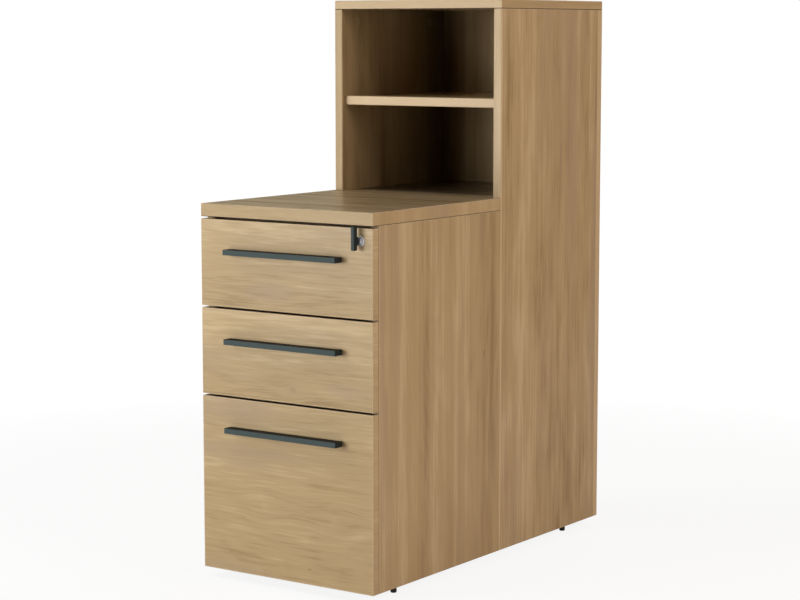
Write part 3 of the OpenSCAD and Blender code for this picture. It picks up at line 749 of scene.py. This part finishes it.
BOARDS = (
    Board(
        "pedestal_top", X, Y, LID, 2.0, Z, TOP_BANDS,
        lift=0.18, fade=0.3, band_share=0.0, painted_shade_below=True, lacquer=1.0, calm=0.6, corners=(IN_TOWER,),
    ),
    Board("tower_top", X, Y, SHELF, 5.5, Y, (FRONT_EDGE,), band_share=0.6, painted_shade_below=True, lacquer=1.0),
    Board("bookshelf", X, Y, SHELF, 9.1, Y, (FRONT_EDGE,), lift=0.1, band_share=1.0, lacquer=1.0),
    Board("base_panel", X, Y, SHELF, 12.3, Y, (FRONT_EDGE,)),
    Board("front_rail", X, Z, FRONT, 15.8, Z, corners=(UNDER_TOP,)),
    Board("back_panel", Z, X, SIDE, 19.4, X, (LEFT_EDGE, RIGHT_EDGE), corners=BESIDE_SIDES),
    Board("pedestal_side_left", Z, Y, SIDE, 23.1, Y, (FRONT_EDGE,)),
    Board(
        "pedestal_side_right", Z, Y, SIDE, 27.7, Y, (FRONT_EDGE,),
        (
            Knot(0.426, -0.029, 0.004, dark=0.25, flow=0.3),
            Knot(0.40, 0.006, 0.016, dark=0.16, flow=0.0, long=26.0),
            Knot(0.349, -0.057, 0.014, dark=0.08, flow=0.0, long=3.0),
        ),
        lift=0.04, fade=-0.2,
    ),
    Board(
        "tower_side_left", Z, Y, SIDE, 31.2, Y, (FRONT_EDGE,),
        fade=0.5, band_share=0.3, corners=(AT_BACK_LEFT, OVER_TOP),
    ),
    Board(
        "tower_side_right", Z, Y, TALL, 38.6, Y, (FRONT_EDGE,),
        (
            Knot(0.512, 0.155, 0.015, dark=0.16, flow=0.1, long=3.0),
            Knot(0.373, 0.091, 0.005, dark=0.22, flow=0.0, long=9.0),
            Knot(0.445, 0.207, 0.010, dark=0.12, flow=0.0, long=3.0),
            Knot(1.032, 0.290, 0.005, dark=0.3, long=1.5),
        ),
        lift=0.03, fade=-0.2, band_share=0.4, corners=(AT_BACK_RIGHT,), lipping=0.005,
    ),
    drawer_front(
        1, 41.0, 0.0, 0.42,
        Knot(-0.038, 0.567, 0.010, dark=0.06, haze=0.45, flow=0.2, long=3.0),
        Knot(-0.186, 0.584, 0.003, dark=0.2, flow=0.0, long=9.0),
    ),
    drawer_front(
        2, 44.6, 0.04, 0.44,
        Knot(0.018, 0.386, 0.006, dark=0.4, haze=0.3, core=0.7, long=1.5),
        Knot(0.138, 0.394, 0.008, dark=0.04, haze=0.35, flow=0.0, long=3.0),
    ),
    drawer_front(
        3, 48.3, -0.02, 0.1,
        Knot(0.114, 0.150, 0.009, dark=-0.14, flow=0.45, long=1.6),
        Knot(-0.051, 0.157, 0.009, dark=-0.12, flow=0.45, long=1.6),
        Knot(0.055, 0.048, 0.003, dark=0.35),
        Knot(-0.10, 0.240, 0.010, dark=0.03, haze=0.35, flow=0.0, long=4.0),
    ),
)
BOARD_OF = {board.node: board for board in BOARDS}


@dataclass(frozen=True)
class CapOverSteel:
    """Zinc fittings whose discs carry thin caps in the board's colour.

    Attributes:
        steel: finish of the fittings.
        inner: distance of the side panels' inner faces from the middle.
        above: height from which the discs can be seen.
    """

    steel: Metal
    inner: float
    above: float

    def material(self) -> bpy.types.Material:
        """Builds the material. The caps fade like the tower's left side and carry its painted shade towards
        the back panel.

        Returns:
            The new material.
        """
        g = Graph("panel_fittings")
        place, faces = g.position(), g.facing()
        flush = abs(place[X]) < self.inner + BLUR
        cap = (faces[X] > FLAT) * flush * (place[Z] > self.above)
        grain = g.noise(g.point(place[X] * 3.0, place[Y] * 300.0, place[Z] * 6.0), detail=3.0)
        board = BOARD_OF["tower_side_left"]
        low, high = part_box(board.node)
        fade = (place[Y] - (low.y + high.y) / 2) * (board.fade / (high.y - low.y))
        oak = g.mix((0.5 + grain + fade).share(), OAK.dark, OAK.light)
        # Painted shade towards the back panel, as on the tower's left side.
        off = abs(place[Y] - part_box("back_panel")[0].y)
        oak = g.mix(off.ease(AT_BACK_LEFT.reach, 0.0) * AT_BACK_LEFT.depth, oak, OAK.seam)
        wear = g.texture([500.0] * 3)
        return g.surface(
            Base_Color=g.mix(cap, self.steel.colour, oak), Metallic=self.steel.metallic * (1 - cap),
            Roughness=self.steel.rough + wear * 0.2, Normal=g.bump(wear, 0.00001),
        )


Finish = Board | Metal | Plastic | CapOverSteel

SLATE = Metal(
    "slate_metal", (0.054, 0.075, 0.073), 0.0, 0.6, grain=0.0005, depth=0.00002,
    painted_shade_above=0.98, painted_shade_aside=0.66, sheen=0.12,
)
TRAY = Metal("tray_steel", (0.52, 0.53, 0.54), 0.0, 0.42, grain=0.0009, depth=0.00003)
ZINC = Metal("slide_steel", (0.60, 0.62, 0.64), 1.0, 0.30, 0.15, 0.0009, brushed=Y)
BALL = Metal("ball_steel", (0.75, 0.75, 0.77), 1.0, 0.10, 0.03)
CAGE = Metal("cage_steel", (0.58, 0.52, 0.36), 1.0, 0.34, 0.1, 0.0008, brushed=Y)
NICKEL = Metal("lock_metal", (0.55, 0.56, 0.57), 0.35, 0.5, 0.08, 0.0004)
GRIP = Metal(
    "key_grip", (0.040, 0.056, 0.055), 0.0, 0.6, grain=0.0005, depth=0.00002,
    painted_shade_above=0.9, painted_shade_aside=0.7, sheen=0.2,
)
KEY_STEEL = Metal("key_steel", (0.10, 0.105, 0.12), 0.3, 0.45, 0.08, 0.0004)
SCREW = Metal("screw_steel", (0.62, 0.63, 0.65), 1.0, 0.30, 0.12)
BLACK = Plastic("black_plastic", (0.012, 0.012, 0.013), 0.5)
RUBBER = Plastic("grey_rubber", (0.09, 0.09, 0.09), 0.75)

FINISH_OF_SLOT = {
    finish.name: finish for finish in (SLATE, TRAY, ZINC, BALL, CAGE, NICKEL, SCREW, BLACK, RUBBER)
}


def give(piece: bpy.types.Object, material: bpy.types.Material) -> None:
    """Puts a material on every slot of an object.

    Args:
        piece: the object.
        material: its new material.
    """
    if not piece.material_slots:
        piece.data.materials.append(material)
    for slot in piece.material_slots:
        slot.link = "OBJECT"
        slot.material = material


class Palette:
    """Builds each finish once, and knows the slot of every CAD node."""

    def __init__(self) -> None:
        """Starts without materials, and reads the slots."""
        self.made: dict[Finish, bpy.types.Material] = {}
        self.slots = {part["node"]: part["material_slot"] for part in frame["record"]["subparts"]}

    def of(self, finish: Finish) -> bpy.types.Material:
        """Builds a finish the first time.

        Args:
            finish: the finish.

        Returns:
            Its material.
        """
        if finish not in self.made:
            self.made[finish] = finish.material()
        return self.made[finish]

    def dress(self, node: str, finish: Finish | None = None) -> None:
        """Gives a CAD node a finish, or the one that belongs to its slot.

        Args:
            node: the node's name.
            finish: its own finish, if it has one.
        """
        give(frame["nodes"][node], self.of(finish or FINISH_OF_SLOT[self.slots[node]]))
        log.info("dressed %s", node)


def ring_quads(rows: int, columns: int) -> np.ndarray:
    """Quads between the rows of a grid whose columns close to a ring.

    Quad (i, j) joins the points (i, j), (i, j + 1), (i + 1, j + 1) and (i + 1, j), counted
    along the rows, and the last column is followed by the first.

    Args:
        rows: number of rows.
        columns: number of columns.

    Returns:
        An array of four point numbers for each quad.
    """
    i, j = np.meshgrid(np.arange(rows - 1), np.arange(columns), indexing="ij")
    after = (j + 1) % columns
    corners = (i * columns + j, i * columns + after, (i + 1) * columns + after, (i + 1) * columns + j)
    return np.stack(corners, axis=-1).reshape(-1, 4)


def lathe(radius: np.ndarray, height: np.ndarray, turn: np.ndarray) -> np.ndarray:
    """Points of a turned form: x = radius cos(turn), y = radius sin(turn), z = height.

    Args:
        radius: radius of each point of the grid.
        height: height of each point, of a shape that fits the radius.
        turn: the angles of the columns.

    Returns:
        A grid of points, rows by columns by three.
    """
    return np.stack(np.broadcast_arrays(radius * np.cos(turn), radius * np.sin(turn), height), axis=-1)


@dataclass(frozen=True)
class FinePiece:
    """A closed piece made of ring grids, which stands for a CAD node.

    Attributes:
        node: the CAD node that it replaces.
        body: the body that it rides on.
        slot: the record's material slot.
        edge: angle in degrees above which an edge stays sharp.
        weld: distance within which points become one.
    """

    node: str
    body: str
    slot: str
    edge: float = 40.0
    weld: float = 2e-6

    def build(self, grids: list[np.ndarray], material: bpy.types.Material) -> bpy.types.Object:
        """Makes the mesh, closes its poles and puts it in the node's place.

        Args:
            grids: grids of points in metres, each rows by columns by three.
            material: its finish.

        Returns:
            The new object.
        """
        points = np.concatenate([grid.reshape(-1, 3) for grid in grids])
        starts = np.cumsum([0] + [grid.shape[0] * grid.shape[1] for grid in grids[:-1]])
        quads = [ring_quads(*grid.shape[:2]) + start for grid, start in zip(grids, starts)]
        mesh = bpy.data.meshes.new(f"fine_{self.node}")
        mesh.from_pydata(points.tolist(), [], np.concatenate(quads).tolist())
        work = bmesh.new()
        work.from_mesh(mesh)
        bmesh.ops.remove_doubles(work, verts=work.verts, dist=self.weld)
        bmesh.ops.recalc_face_normals(work, faces=work.faces)
        work.to_mesh(mesh)
        work.free()
        mesh.shade_smooth()
        mesh.set_sharp_from_angle(angle=math.radians(self.edge))
        piece = bpy.data.objects.new(f"fine_{self.node}", mesh)
        bpy.context.scene.collection.objects.link(piece)
        give(piece, material)
        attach(piece, self.body)
        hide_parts(self.node)
        log.info("built %s: %d faces", piece.name, len(mesh.polygons))
        return piece


@dataclass(frozen=True)
class Carcass:
    """The boards, the fittings that join them, and the sockets of the glides.

    Attributes:
        inner: distance of the side panels' inner faces from the middle.
        caps_above: height from which the fittings carry caps.
    """

    inner: float = 0.184
    caps_above: float = 0.73

    def build(self, palette: Palette) -> None:
        """Dresses the boards one by one, then the fittings and the sockets.

        Args:
            palette: has the finishes.
        """
        for board in BOARDS:
            if not board.node.startswith("drawer"):
                palette.dress(board.node, board)
        palette.dress("panel_fittings", CapOverSteel(SCREW, self.inner, self.caps_above))
        palette.dress("glide_sockets")


@dataclass(frozen=True)
class Glides:
    """The four levelling glides, with ribbed feet and threaded stems.

    Attributes:
        foot: radius of the foot.
        foot_top: height of the foot.
        rounding: radius of its lower edge.
        ribs: number of ribs round the foot.
        rib_depth: depth of the grooves between them.
        stem: radius of the stem.
        thread_top: height to which the thread is drawn.
        pitch: pitch of the thread.
        thread_depth: depth of the thread.
        bevel: bevel of the foot's upper edge.
        tip: bevel of the stem's upper end.
        sides: number of points round the glide.
    """

    foot: float = 0.006
    foot_top: float = 0.008
    rounding: float = 0.002
    ribs: int = 18
    rib_depth: float = 0.0004
    stem: float = 0.004
    thread_top: float = 0.020
    pitch: float = 0.00125
    thread_depth: float = 0.0005
    bevel: float = 0.0005
    tip: float = 0.0008
    sides: int = 108

    def grid(self, low: Vector, high: Vector) -> np.ndarray:
        """The form of one glide.

        It is turned about its axis. The lower edge is a quarter circle. Round the foot the radius
        is less by depth times (1 - cos(ribs times turn)) / 2, and on the stem by depth times
        (1 - cos(2 pi height / pitch - turn)) / 2, which is a screw line.

        Args:
            low: lowest corner of the node.
            high: highest corner of the node.

        Returns:
            A grid of points.
        """
        turn = np.linspace(0.0, 2 * np.pi, self.sides, endpoint=False)[None, :]
        quarter = np.linspace(0.0, np.pi / 2, 7)
        flat = np.array([0.0, 0.5 * self.foot])
        curve_r = self.foot - self.rounding + self.rounding * np.sin(quarter)
        curve_z = self.rounding - self.rounding * np.cos(quarter)
        wall_z = np.linspace(self.rounding, self.foot_top - self.bevel, 6)[1:]
        lip_r = np.array([self.foot - self.bevel, self.stem])
        screw_z = np.arange(self.foot_top, self.thread_top, self.pitch / 8)
        end_z = np.array([self.thread_top, high.z - self.tip, high.z, high.z])
        end_r = np.array([self.stem, self.stem, self.stem - self.tip, 0.0])
        wall_r = np.full(len(wall_z), self.foot)
        screw_r = np.full(len(screw_z), self.stem)
        radius = np.concatenate([flat, curve_r, wall_r, lip_r, screw_r, end_r])[:, None]
        lip_z = np.full(2, self.foot_top)
        height = np.concatenate([flat * 0.0, curve_z, wall_z, lip_z, screw_z, end_z])[:, None]
        on_wall = (radius > self.foot - 1e-6) & (height > self.rounding - 1e-6)
        on_screw = (height > self.foot_top) & (height < self.thread_top - 1e-6)
        groove = self.rib_depth * (1 - np.cos(self.ribs * turn)) / 2
        thread = self.thread_depth * (1 - np.cos(2 * np.pi * height / self.pitch - turn)) / 2
        shaped = radius - on_wall * groove - on_screw * thread
        middle = (low + high) * 0.5
        return lathe(shaped, height, turn) + np.array([middle.x, middle.y, 0.0])

    def build(self, palette: Palette) -> None:
        """Builds the four glides in the places of their nodes.

        Args:
            palette: has the finishes.
        """
        for place in ("front_left", "front_right", "rear_left", "rear_right"):
            node = f"glide_{place}"
            piece = FinePiece(node, f"foot_{place}", palette.slots[node])
            piece.build([self.grid(*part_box(node))], palette.of(FINISH_OF_SLOT[palette.slots[node]]))


@dataclass(frozen=True)
class Drawer:
    """A drawer with its front, steel tray, ledge handle and the screws that hold them together.

    Attributes:
        number: its number from the top.
        pitch: distance between the two screws.
        shank: radius of a screw.
        head: radius of its head.
        head_high: height of the head.
        recess: radius of the cross recess.
        arm: half width of the arms of the cross.
        arm_slope: width over which their sides slope.
        end_slope: length over which their ends slope.
        recess_deep: depth of the cross recess.
        tip_narrow: how much narrower the tip is than the shank.
        tip_high: height over which it gets narrower.
        sides: number of points round the screw.
    """

    number: int
    pitch: float = 0.256
    shank: float = 0.002
    head: float = 0.004
    head_high: float = 0.0024
    recess: float = 0.0025
    arm: float = 0.0006
    arm_slope: float = 0.0002
    end_slope: float = 0.0005
    recess_deep: float = 0.0013
    tip_narrow: float = 0.0004
    tip_high: float = 0.0006
    sides: int = 96

    def screw(self) -> np.ndarray:
        """The form of a screw along +z, with the underside of its head at 0.

        The shank and the head are turned. The head is a cap of a ball with twice the head's
        radius. A cross is sunk into it: where the smaller of |x| and |y| is below the arm's half
        width, the height is less by the depth, which eases out towards the recess's radius.

        Returns:
            A grid of points.
        """
        low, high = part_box(f"handle_screws_{self.number}")
        tip = (high.y - low.y) - self.head_high
        turn = np.linspace(0.0, 2 * np.pi, self.sides, endpoint=False)[None, :]
        head_r = np.linspace(self.head, 0.0, 34)
        ball = 2 * self.head
        head_z = self.head_high - ball + np.sqrt(ball * ball - head_r * head_r)
        shank_r = [0.0, self.shank - self.tip_narrow, self.shank, self.shank, self.head]
        radius = np.concatenate([shank_r, head_r])[:, None]
        height = np.concatenate([[-tip, -tip, self.tip_high - tip, 0.0, 0.0], head_z])[:, None] + 0.0 * turn
        narrow = np.minimum(abs(radius * np.cos(turn)), abs(radius * np.sin(turn)))
        across = np.clip((self.arm - narrow) / self.arm_slope, 0.0, 1.0)
        inward = np.clip((self.recess - radius) / self.end_slope, 0.0, 1.0)
        on_head = height > 0.0001
        return lathe(radius, height - on_head * across * inward * self.recess_deep, turn)

    def build(self, palette: Palette) -> None:
        """Dresses the drawer's nodes and builds its screws.

        Args:
            palette: has the finishes.
        """
        front = f"drawer_front_{self.number}"
        palette.dress(front, BOARD_OF[front])
        palette.dress(f"drawer_tray_{self.number}")
        palette.dress(f"handle_{self.number}")
        node = f"handle_screws_{self.number}"
        low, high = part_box(node)
        seat = np.array([0.0, high.y - self.head_high, (low.z + high.z) / 2])
        form = self.screw()[..., [X, Z, Y]] + seat
        grids = [form + np.array([side * self.pitch / 2, 0.0, 0.0]) for side in (-1, 1)]
        piece = FinePiece(node, f"drawer_{self.number}", palette.slots[node])
        piece.build(grids, palette.of(SCREW))


@dataclass(frozen=True)
class SlidePair:
    """The two telescopic slides of a drawer.

    Attributes:
        number: the drawer's number from the top.
        kinds: the members, the ball cages and the balls.
    """

    number: int
    kinds: tuple[str, ...] = (
        "cabinet_rails", "middle_rails", "drawer_rails",
        "outer_cages", "inner_cages", "outer_balls", "inner_balls",
    )

    def build(self, palette: Palette) -> None:
        """Dresses them."""
        for kind in self.kinds:
            palette.dress(f"{kind}_{self.number}")


@dataclass(frozen=True)
class SmallParts:
    """Small parts that belong to no drawer.

    Attributes:
        nodes: the screws of the slides, the rails for hanging files and the pads behind the fronts.
    """

    nodes: tuple[str, ...] = ("slide_screws", "hanging_file_rails", "front_bumpers")

    def build(self, palette: Palette) -> None:
        """Dresses them."""
        for node in self.nodes:
            palette.dress(node)


@dataclass(frozen=True)
class Lock:
    """The lock, its bar and its key with a moulded bow.

    Attributes:
        bow_wide: width of the bow.
        bow_deep: its depth, front to back.
        hub_half: half of the height of the hub behind the bow.
        hub_in: distance of the hub's outer side from the bow's.
        hub_sunk: how deep the hub is sunk into the bow.
        corner: exponent of the bow's section, 1 for an oval and less for squarer corners.
        hollow: depth of the finger hollows in its sides.
        lock_height: height of the lock's axis.
        sides: number of points round a bar.
        rows: number of points along it.
    """

    bow_wide: float = 0.0085
    bow_deep: float = 0.0105
    hub_half: float = 0.008
    hub_in: float = 0.0005
    hub_sunk: float = 0.001
    corner: float = 0.42
    hollow: float = 0.0005
    lock_height: float = 0.6745
    sides: int = 72
    rows: int = 60

    def bar(self, low: np.ndarray, high: np.ndarray, hollow: float) -> np.ndarray:
        """An upright bar with soft edges between two corners.

        At height z the section is x = half width times cos(turn) to the power corner, with its
        sign, and y likewise with sin(turn). Towards both ends the section shrinks by
        (1 - |t|^24)^(1/6), where t runs from -1 to 1. The half width is less by hollow times
        (1 - t^4) on its flat sides.

        Args:
            low: lowest corner.
            high: highest corner.
            hollow: depth of the hollows.

        Returns:
            A grid of points.
        """
        turn = np.linspace(0.0, 2 * np.pi, self.sides, endpoint=False)[None, :]
        t = np.sin(np.linspace(-np.pi / 2, np.pi / 2, self.rows))[:, None]
        shrink = np.clip(1 - abs(t) ** 24, 0.0, 1.0) ** (1 / 6)
        half = (high - low) / 2
        cosine, sine = np.cos(turn), np.sin(turn)
        x = np.sign(cosine) * abs(cosine) ** self.corner
        y = np.sign(sine) * abs(sine) ** self.corner
        waist = hollow * (1 - t**4) * (abs(x) > 0.9)
        x = np.sign(x) * (abs(x) * half[0] - waist) * shrink
        grid = np.stack(np.broadcast_arrays(x, y * half[1] * shrink, t * half[2]), axis=-1)
        return grid + (low + high) / 2

    def build(self, palette: Palette) -> None:
        """Dresses the lock's nodes and builds the bow, whose hub is sunk into it.

        Args:
            palette: has the finishes.
        """
        for node in ("lock_housing", "lock_plug", "lock_cam", "lock_bar", "lock_bar_guides"):
            palette.dress(node)
        palette.dress("key_shank", KEY_STEEL)
        low, high = (np.array(corner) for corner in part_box("key_bow"))
        deep = low[Y] + self.bow_deep
        bow = self.bar(low, np.array([low[X] + self.bow_wide, deep, high[Z]]), self.hollow)
        hub_low = np.array([low[X] + self.hub_in, deep - self.hub_sunk, self.lock_height - self.hub_half])
        hub_high = np.array([high[X], high[Y], self.lock_height + self.hub_half])
        piece = FinePiece("key_bow", "key", palette.slots["key_bow"])
        piece.build([bow, self.bar(hub_low, hub_high, 0.0)], palette.of(GRIP))


@dataclass(frozen=True)
class SoftBox:
    """A square area light that looks at the middle of the object.

    Attributes:
        name: its name.
        turn: its direction in plan, in degrees from -Y towards +X.
        rise: its elevation in degrees.
        power: its power in watts.
        size: its edge length.
        away: its distance.
        colour: its colour.
        middle: height of the place that it looks at.
    """

    name: str
    turn: float
    rise: float
    power: float
    size: float = 2.0
    away: float = 4.0
    colour: Colour = (1.0, 1.0, 1.0)
    middle: float = 0.55

    def build(self) -> None:
        """Adds the light."""
        turn, rise = math.radians(self.turn), math.radians(self.rise)
        out = Vector((math.sin(turn) * math.cos(rise), -math.cos(turn) * math.cos(rise), math.sin(rise)))
        data = bpy.data.lights.new(self.name, "AREA")
        data.size = self.size
        data.energy = self.power
        data.color = self.colour
        made = bpy.data.objects.new(self.name, data)
        made.location = out * self.away + Vector((0, 0, self.middle))
        made.rotation_euler = out.to_track_quat("Z", "Y").to_euler()
        bpy.context.scene.collection.objects.link(made)


@dataclass(frozen=True)
class Studio:
    """A pale floor, a white surround and soft lights.

    Attributes:
        sky: strength of the surround as a light.
        floor_colour: colour of the floor.
        floor_white: share of plain white in the floor that the camera sees.
        floor_glow: strength of that white.
        floor_ring: squares of the distances between which the floor goes over to plain white.
        floor_half: half of the floor's edge length.
        boxes: the lights.
    """

    sky: float = 0.0
    floor_colour: Colour = (0.85, 0.85, 0.85)
    floor_white: float = 0.85
    floor_glow: float = 1.03
    floor_ring: tuple[float, float] = (0.8, 6.0)
    floor_half: float = 40.0
    boxes: tuple[SoftBox, ...] = (
        SoftBox("key_near", -20, 4, 46, size=1.6),
        SoftBox("key_left", -30, 4, 60, size=1.6),
        SoftBox("high_left", -60, 40, 62),
        SoftBox("fill_right", 84, 20, 78, colour=(1.0, 0.85, 0.77)),
        SoftBox("inner_fill", 60, 5, 3, size=1.0),
        SoftBox("rim_right", 112, 25, 18, colour=(1.0, 0.85, 0.77)),
        SoftBox("backdrop", 215, 8, 11, size=3.0, colour=(1.0, 0.86, 0.60)),
        SoftBox("back_high", 180, 50, 39),
    )

    def build(self) -> None:
        """Builds the whole studio."""
        self.build_world()
        self.build_floor()
        for box in self.boxes:
            box.build()
        log.info("studio with %d lights", len(self.boxes))

    def build_world(self) -> None:
        """A white surround for the camera and a dim one for the light."""
        world = bpy.data.worlds.new("studio")
        world.use_nodes = True
        g = Graph("studio", world.node_tree)
        seen = g.node("ShaderNodeLightPath", output="Is Camera Ray")
        strength = seen.blend(self.sky, 1.0)
        light = g.node("ShaderNodeBackground", {"Color": (1.0, 1.0, 1.0), "Strength": strength})
        g.add("ShaderNodeOutputWorld", {"Surface": light})
        bpy.context.scene.world = world

    def build_floor(self) -> None:
        """A wide pale floor under the glides, nearly white to the camera."""
        h = self.floor_half
        mesh = bpy.data.meshes.new("floor")
        mesh.from_pydata([(-h, -h, 0), (h, -h, 0), (h, h, 0), (-h, h, 0)], [], [(0, 1, 2, 3)])
        floor = bpy.data.objects.new("floor", mesh)
        bpy.context.scene.collection.objects.link(floor)
        g = Graph("pale_floor")
        seen = g.node("ShaderNodeLightPath", output="Is Camera Ray")
        matt = g.node("ShaderNodeBsdfDiffuse", {"Color": self.floor_colour})
        white = g.node("ShaderNodeEmission", {"Color": (1.0, 1.0, 1.0), "Strength": self.floor_glow})
        x, y, _ = g.position()
        share = (x * x + y * y).ease(*self.floor_ring).blend(self.floor_white, 1.0)
        both = g.node("ShaderNodeMixShader", {0: seen * share, 1: matt, 2: white})
        g.add("ShaderNodeOutputMaterial", {"Surface": both})
        give(floor, g.material)


@dataclass(frozen=True)
class PhotoCamera:
    """The camera at the photograph's viewing angle.

    Attributes:
        at: its place in metres.
        yaw: turn from +Y towards +X, in radians.
        pitch: angle above the horizon, in radians.
        focal_px: focal length in pixels of the frame.
        frame_px: width of the frame in pixels.
        sensor: width of the sensor in millimetres.
        sight: how far it sees.
    """

    at: tuple[float, float, float] = (2.4687, -3.5801, 1.0505)
    yaw: float = -0.6072
    pitch: float = -0.1228
    focal_px: float = 2168.4
    frame_px: float = 800.0
    sensor: float = 36.0
    sight: float = 200.0

    def build(self) -> None:
        """Adds the camera and makes it the scene's."""
        data = bpy.data.cameras.new("photo_camera")
        data.sensor_width = self.sensor
        data.lens = data.sensor_width * self.focal_px / self.frame_px
        data.clip_end = self.sight
        level = math.cos(self.pitch)
        ahead = Vector((math.sin(self.yaw) * level, math.cos(self.yaw) * level, math.sin(self.pitch)))
        camera = bpy.data.objects.new("photo_camera", data)
        camera.location = self.at
        camera.rotation_euler = ahead.to_track_quat("-Z", "Y").to_euler()
        bpy.context.scene.collection.objects.link(camera)
        bpy.context.scene.camera = camera


def main() -> None:
    """Builds everything in order."""
    logging.basicConfig(level=logging.INFO, format="%(message)s")
    palette = Palette()
    Carcass().build(palette)
    Glides().build(palette)
    for number in (1, 2, 3):
        Drawer(number).build(palette)
        SlidePair(number).build(palette)
    SmallParts().build(palette)
    Lock().build(palette)
    Studio().build()
    PhotoCamera().build()
    bpy.context.scene.view_settings.view_transform = "Standard"


if __name__ == "__main__":
    main()
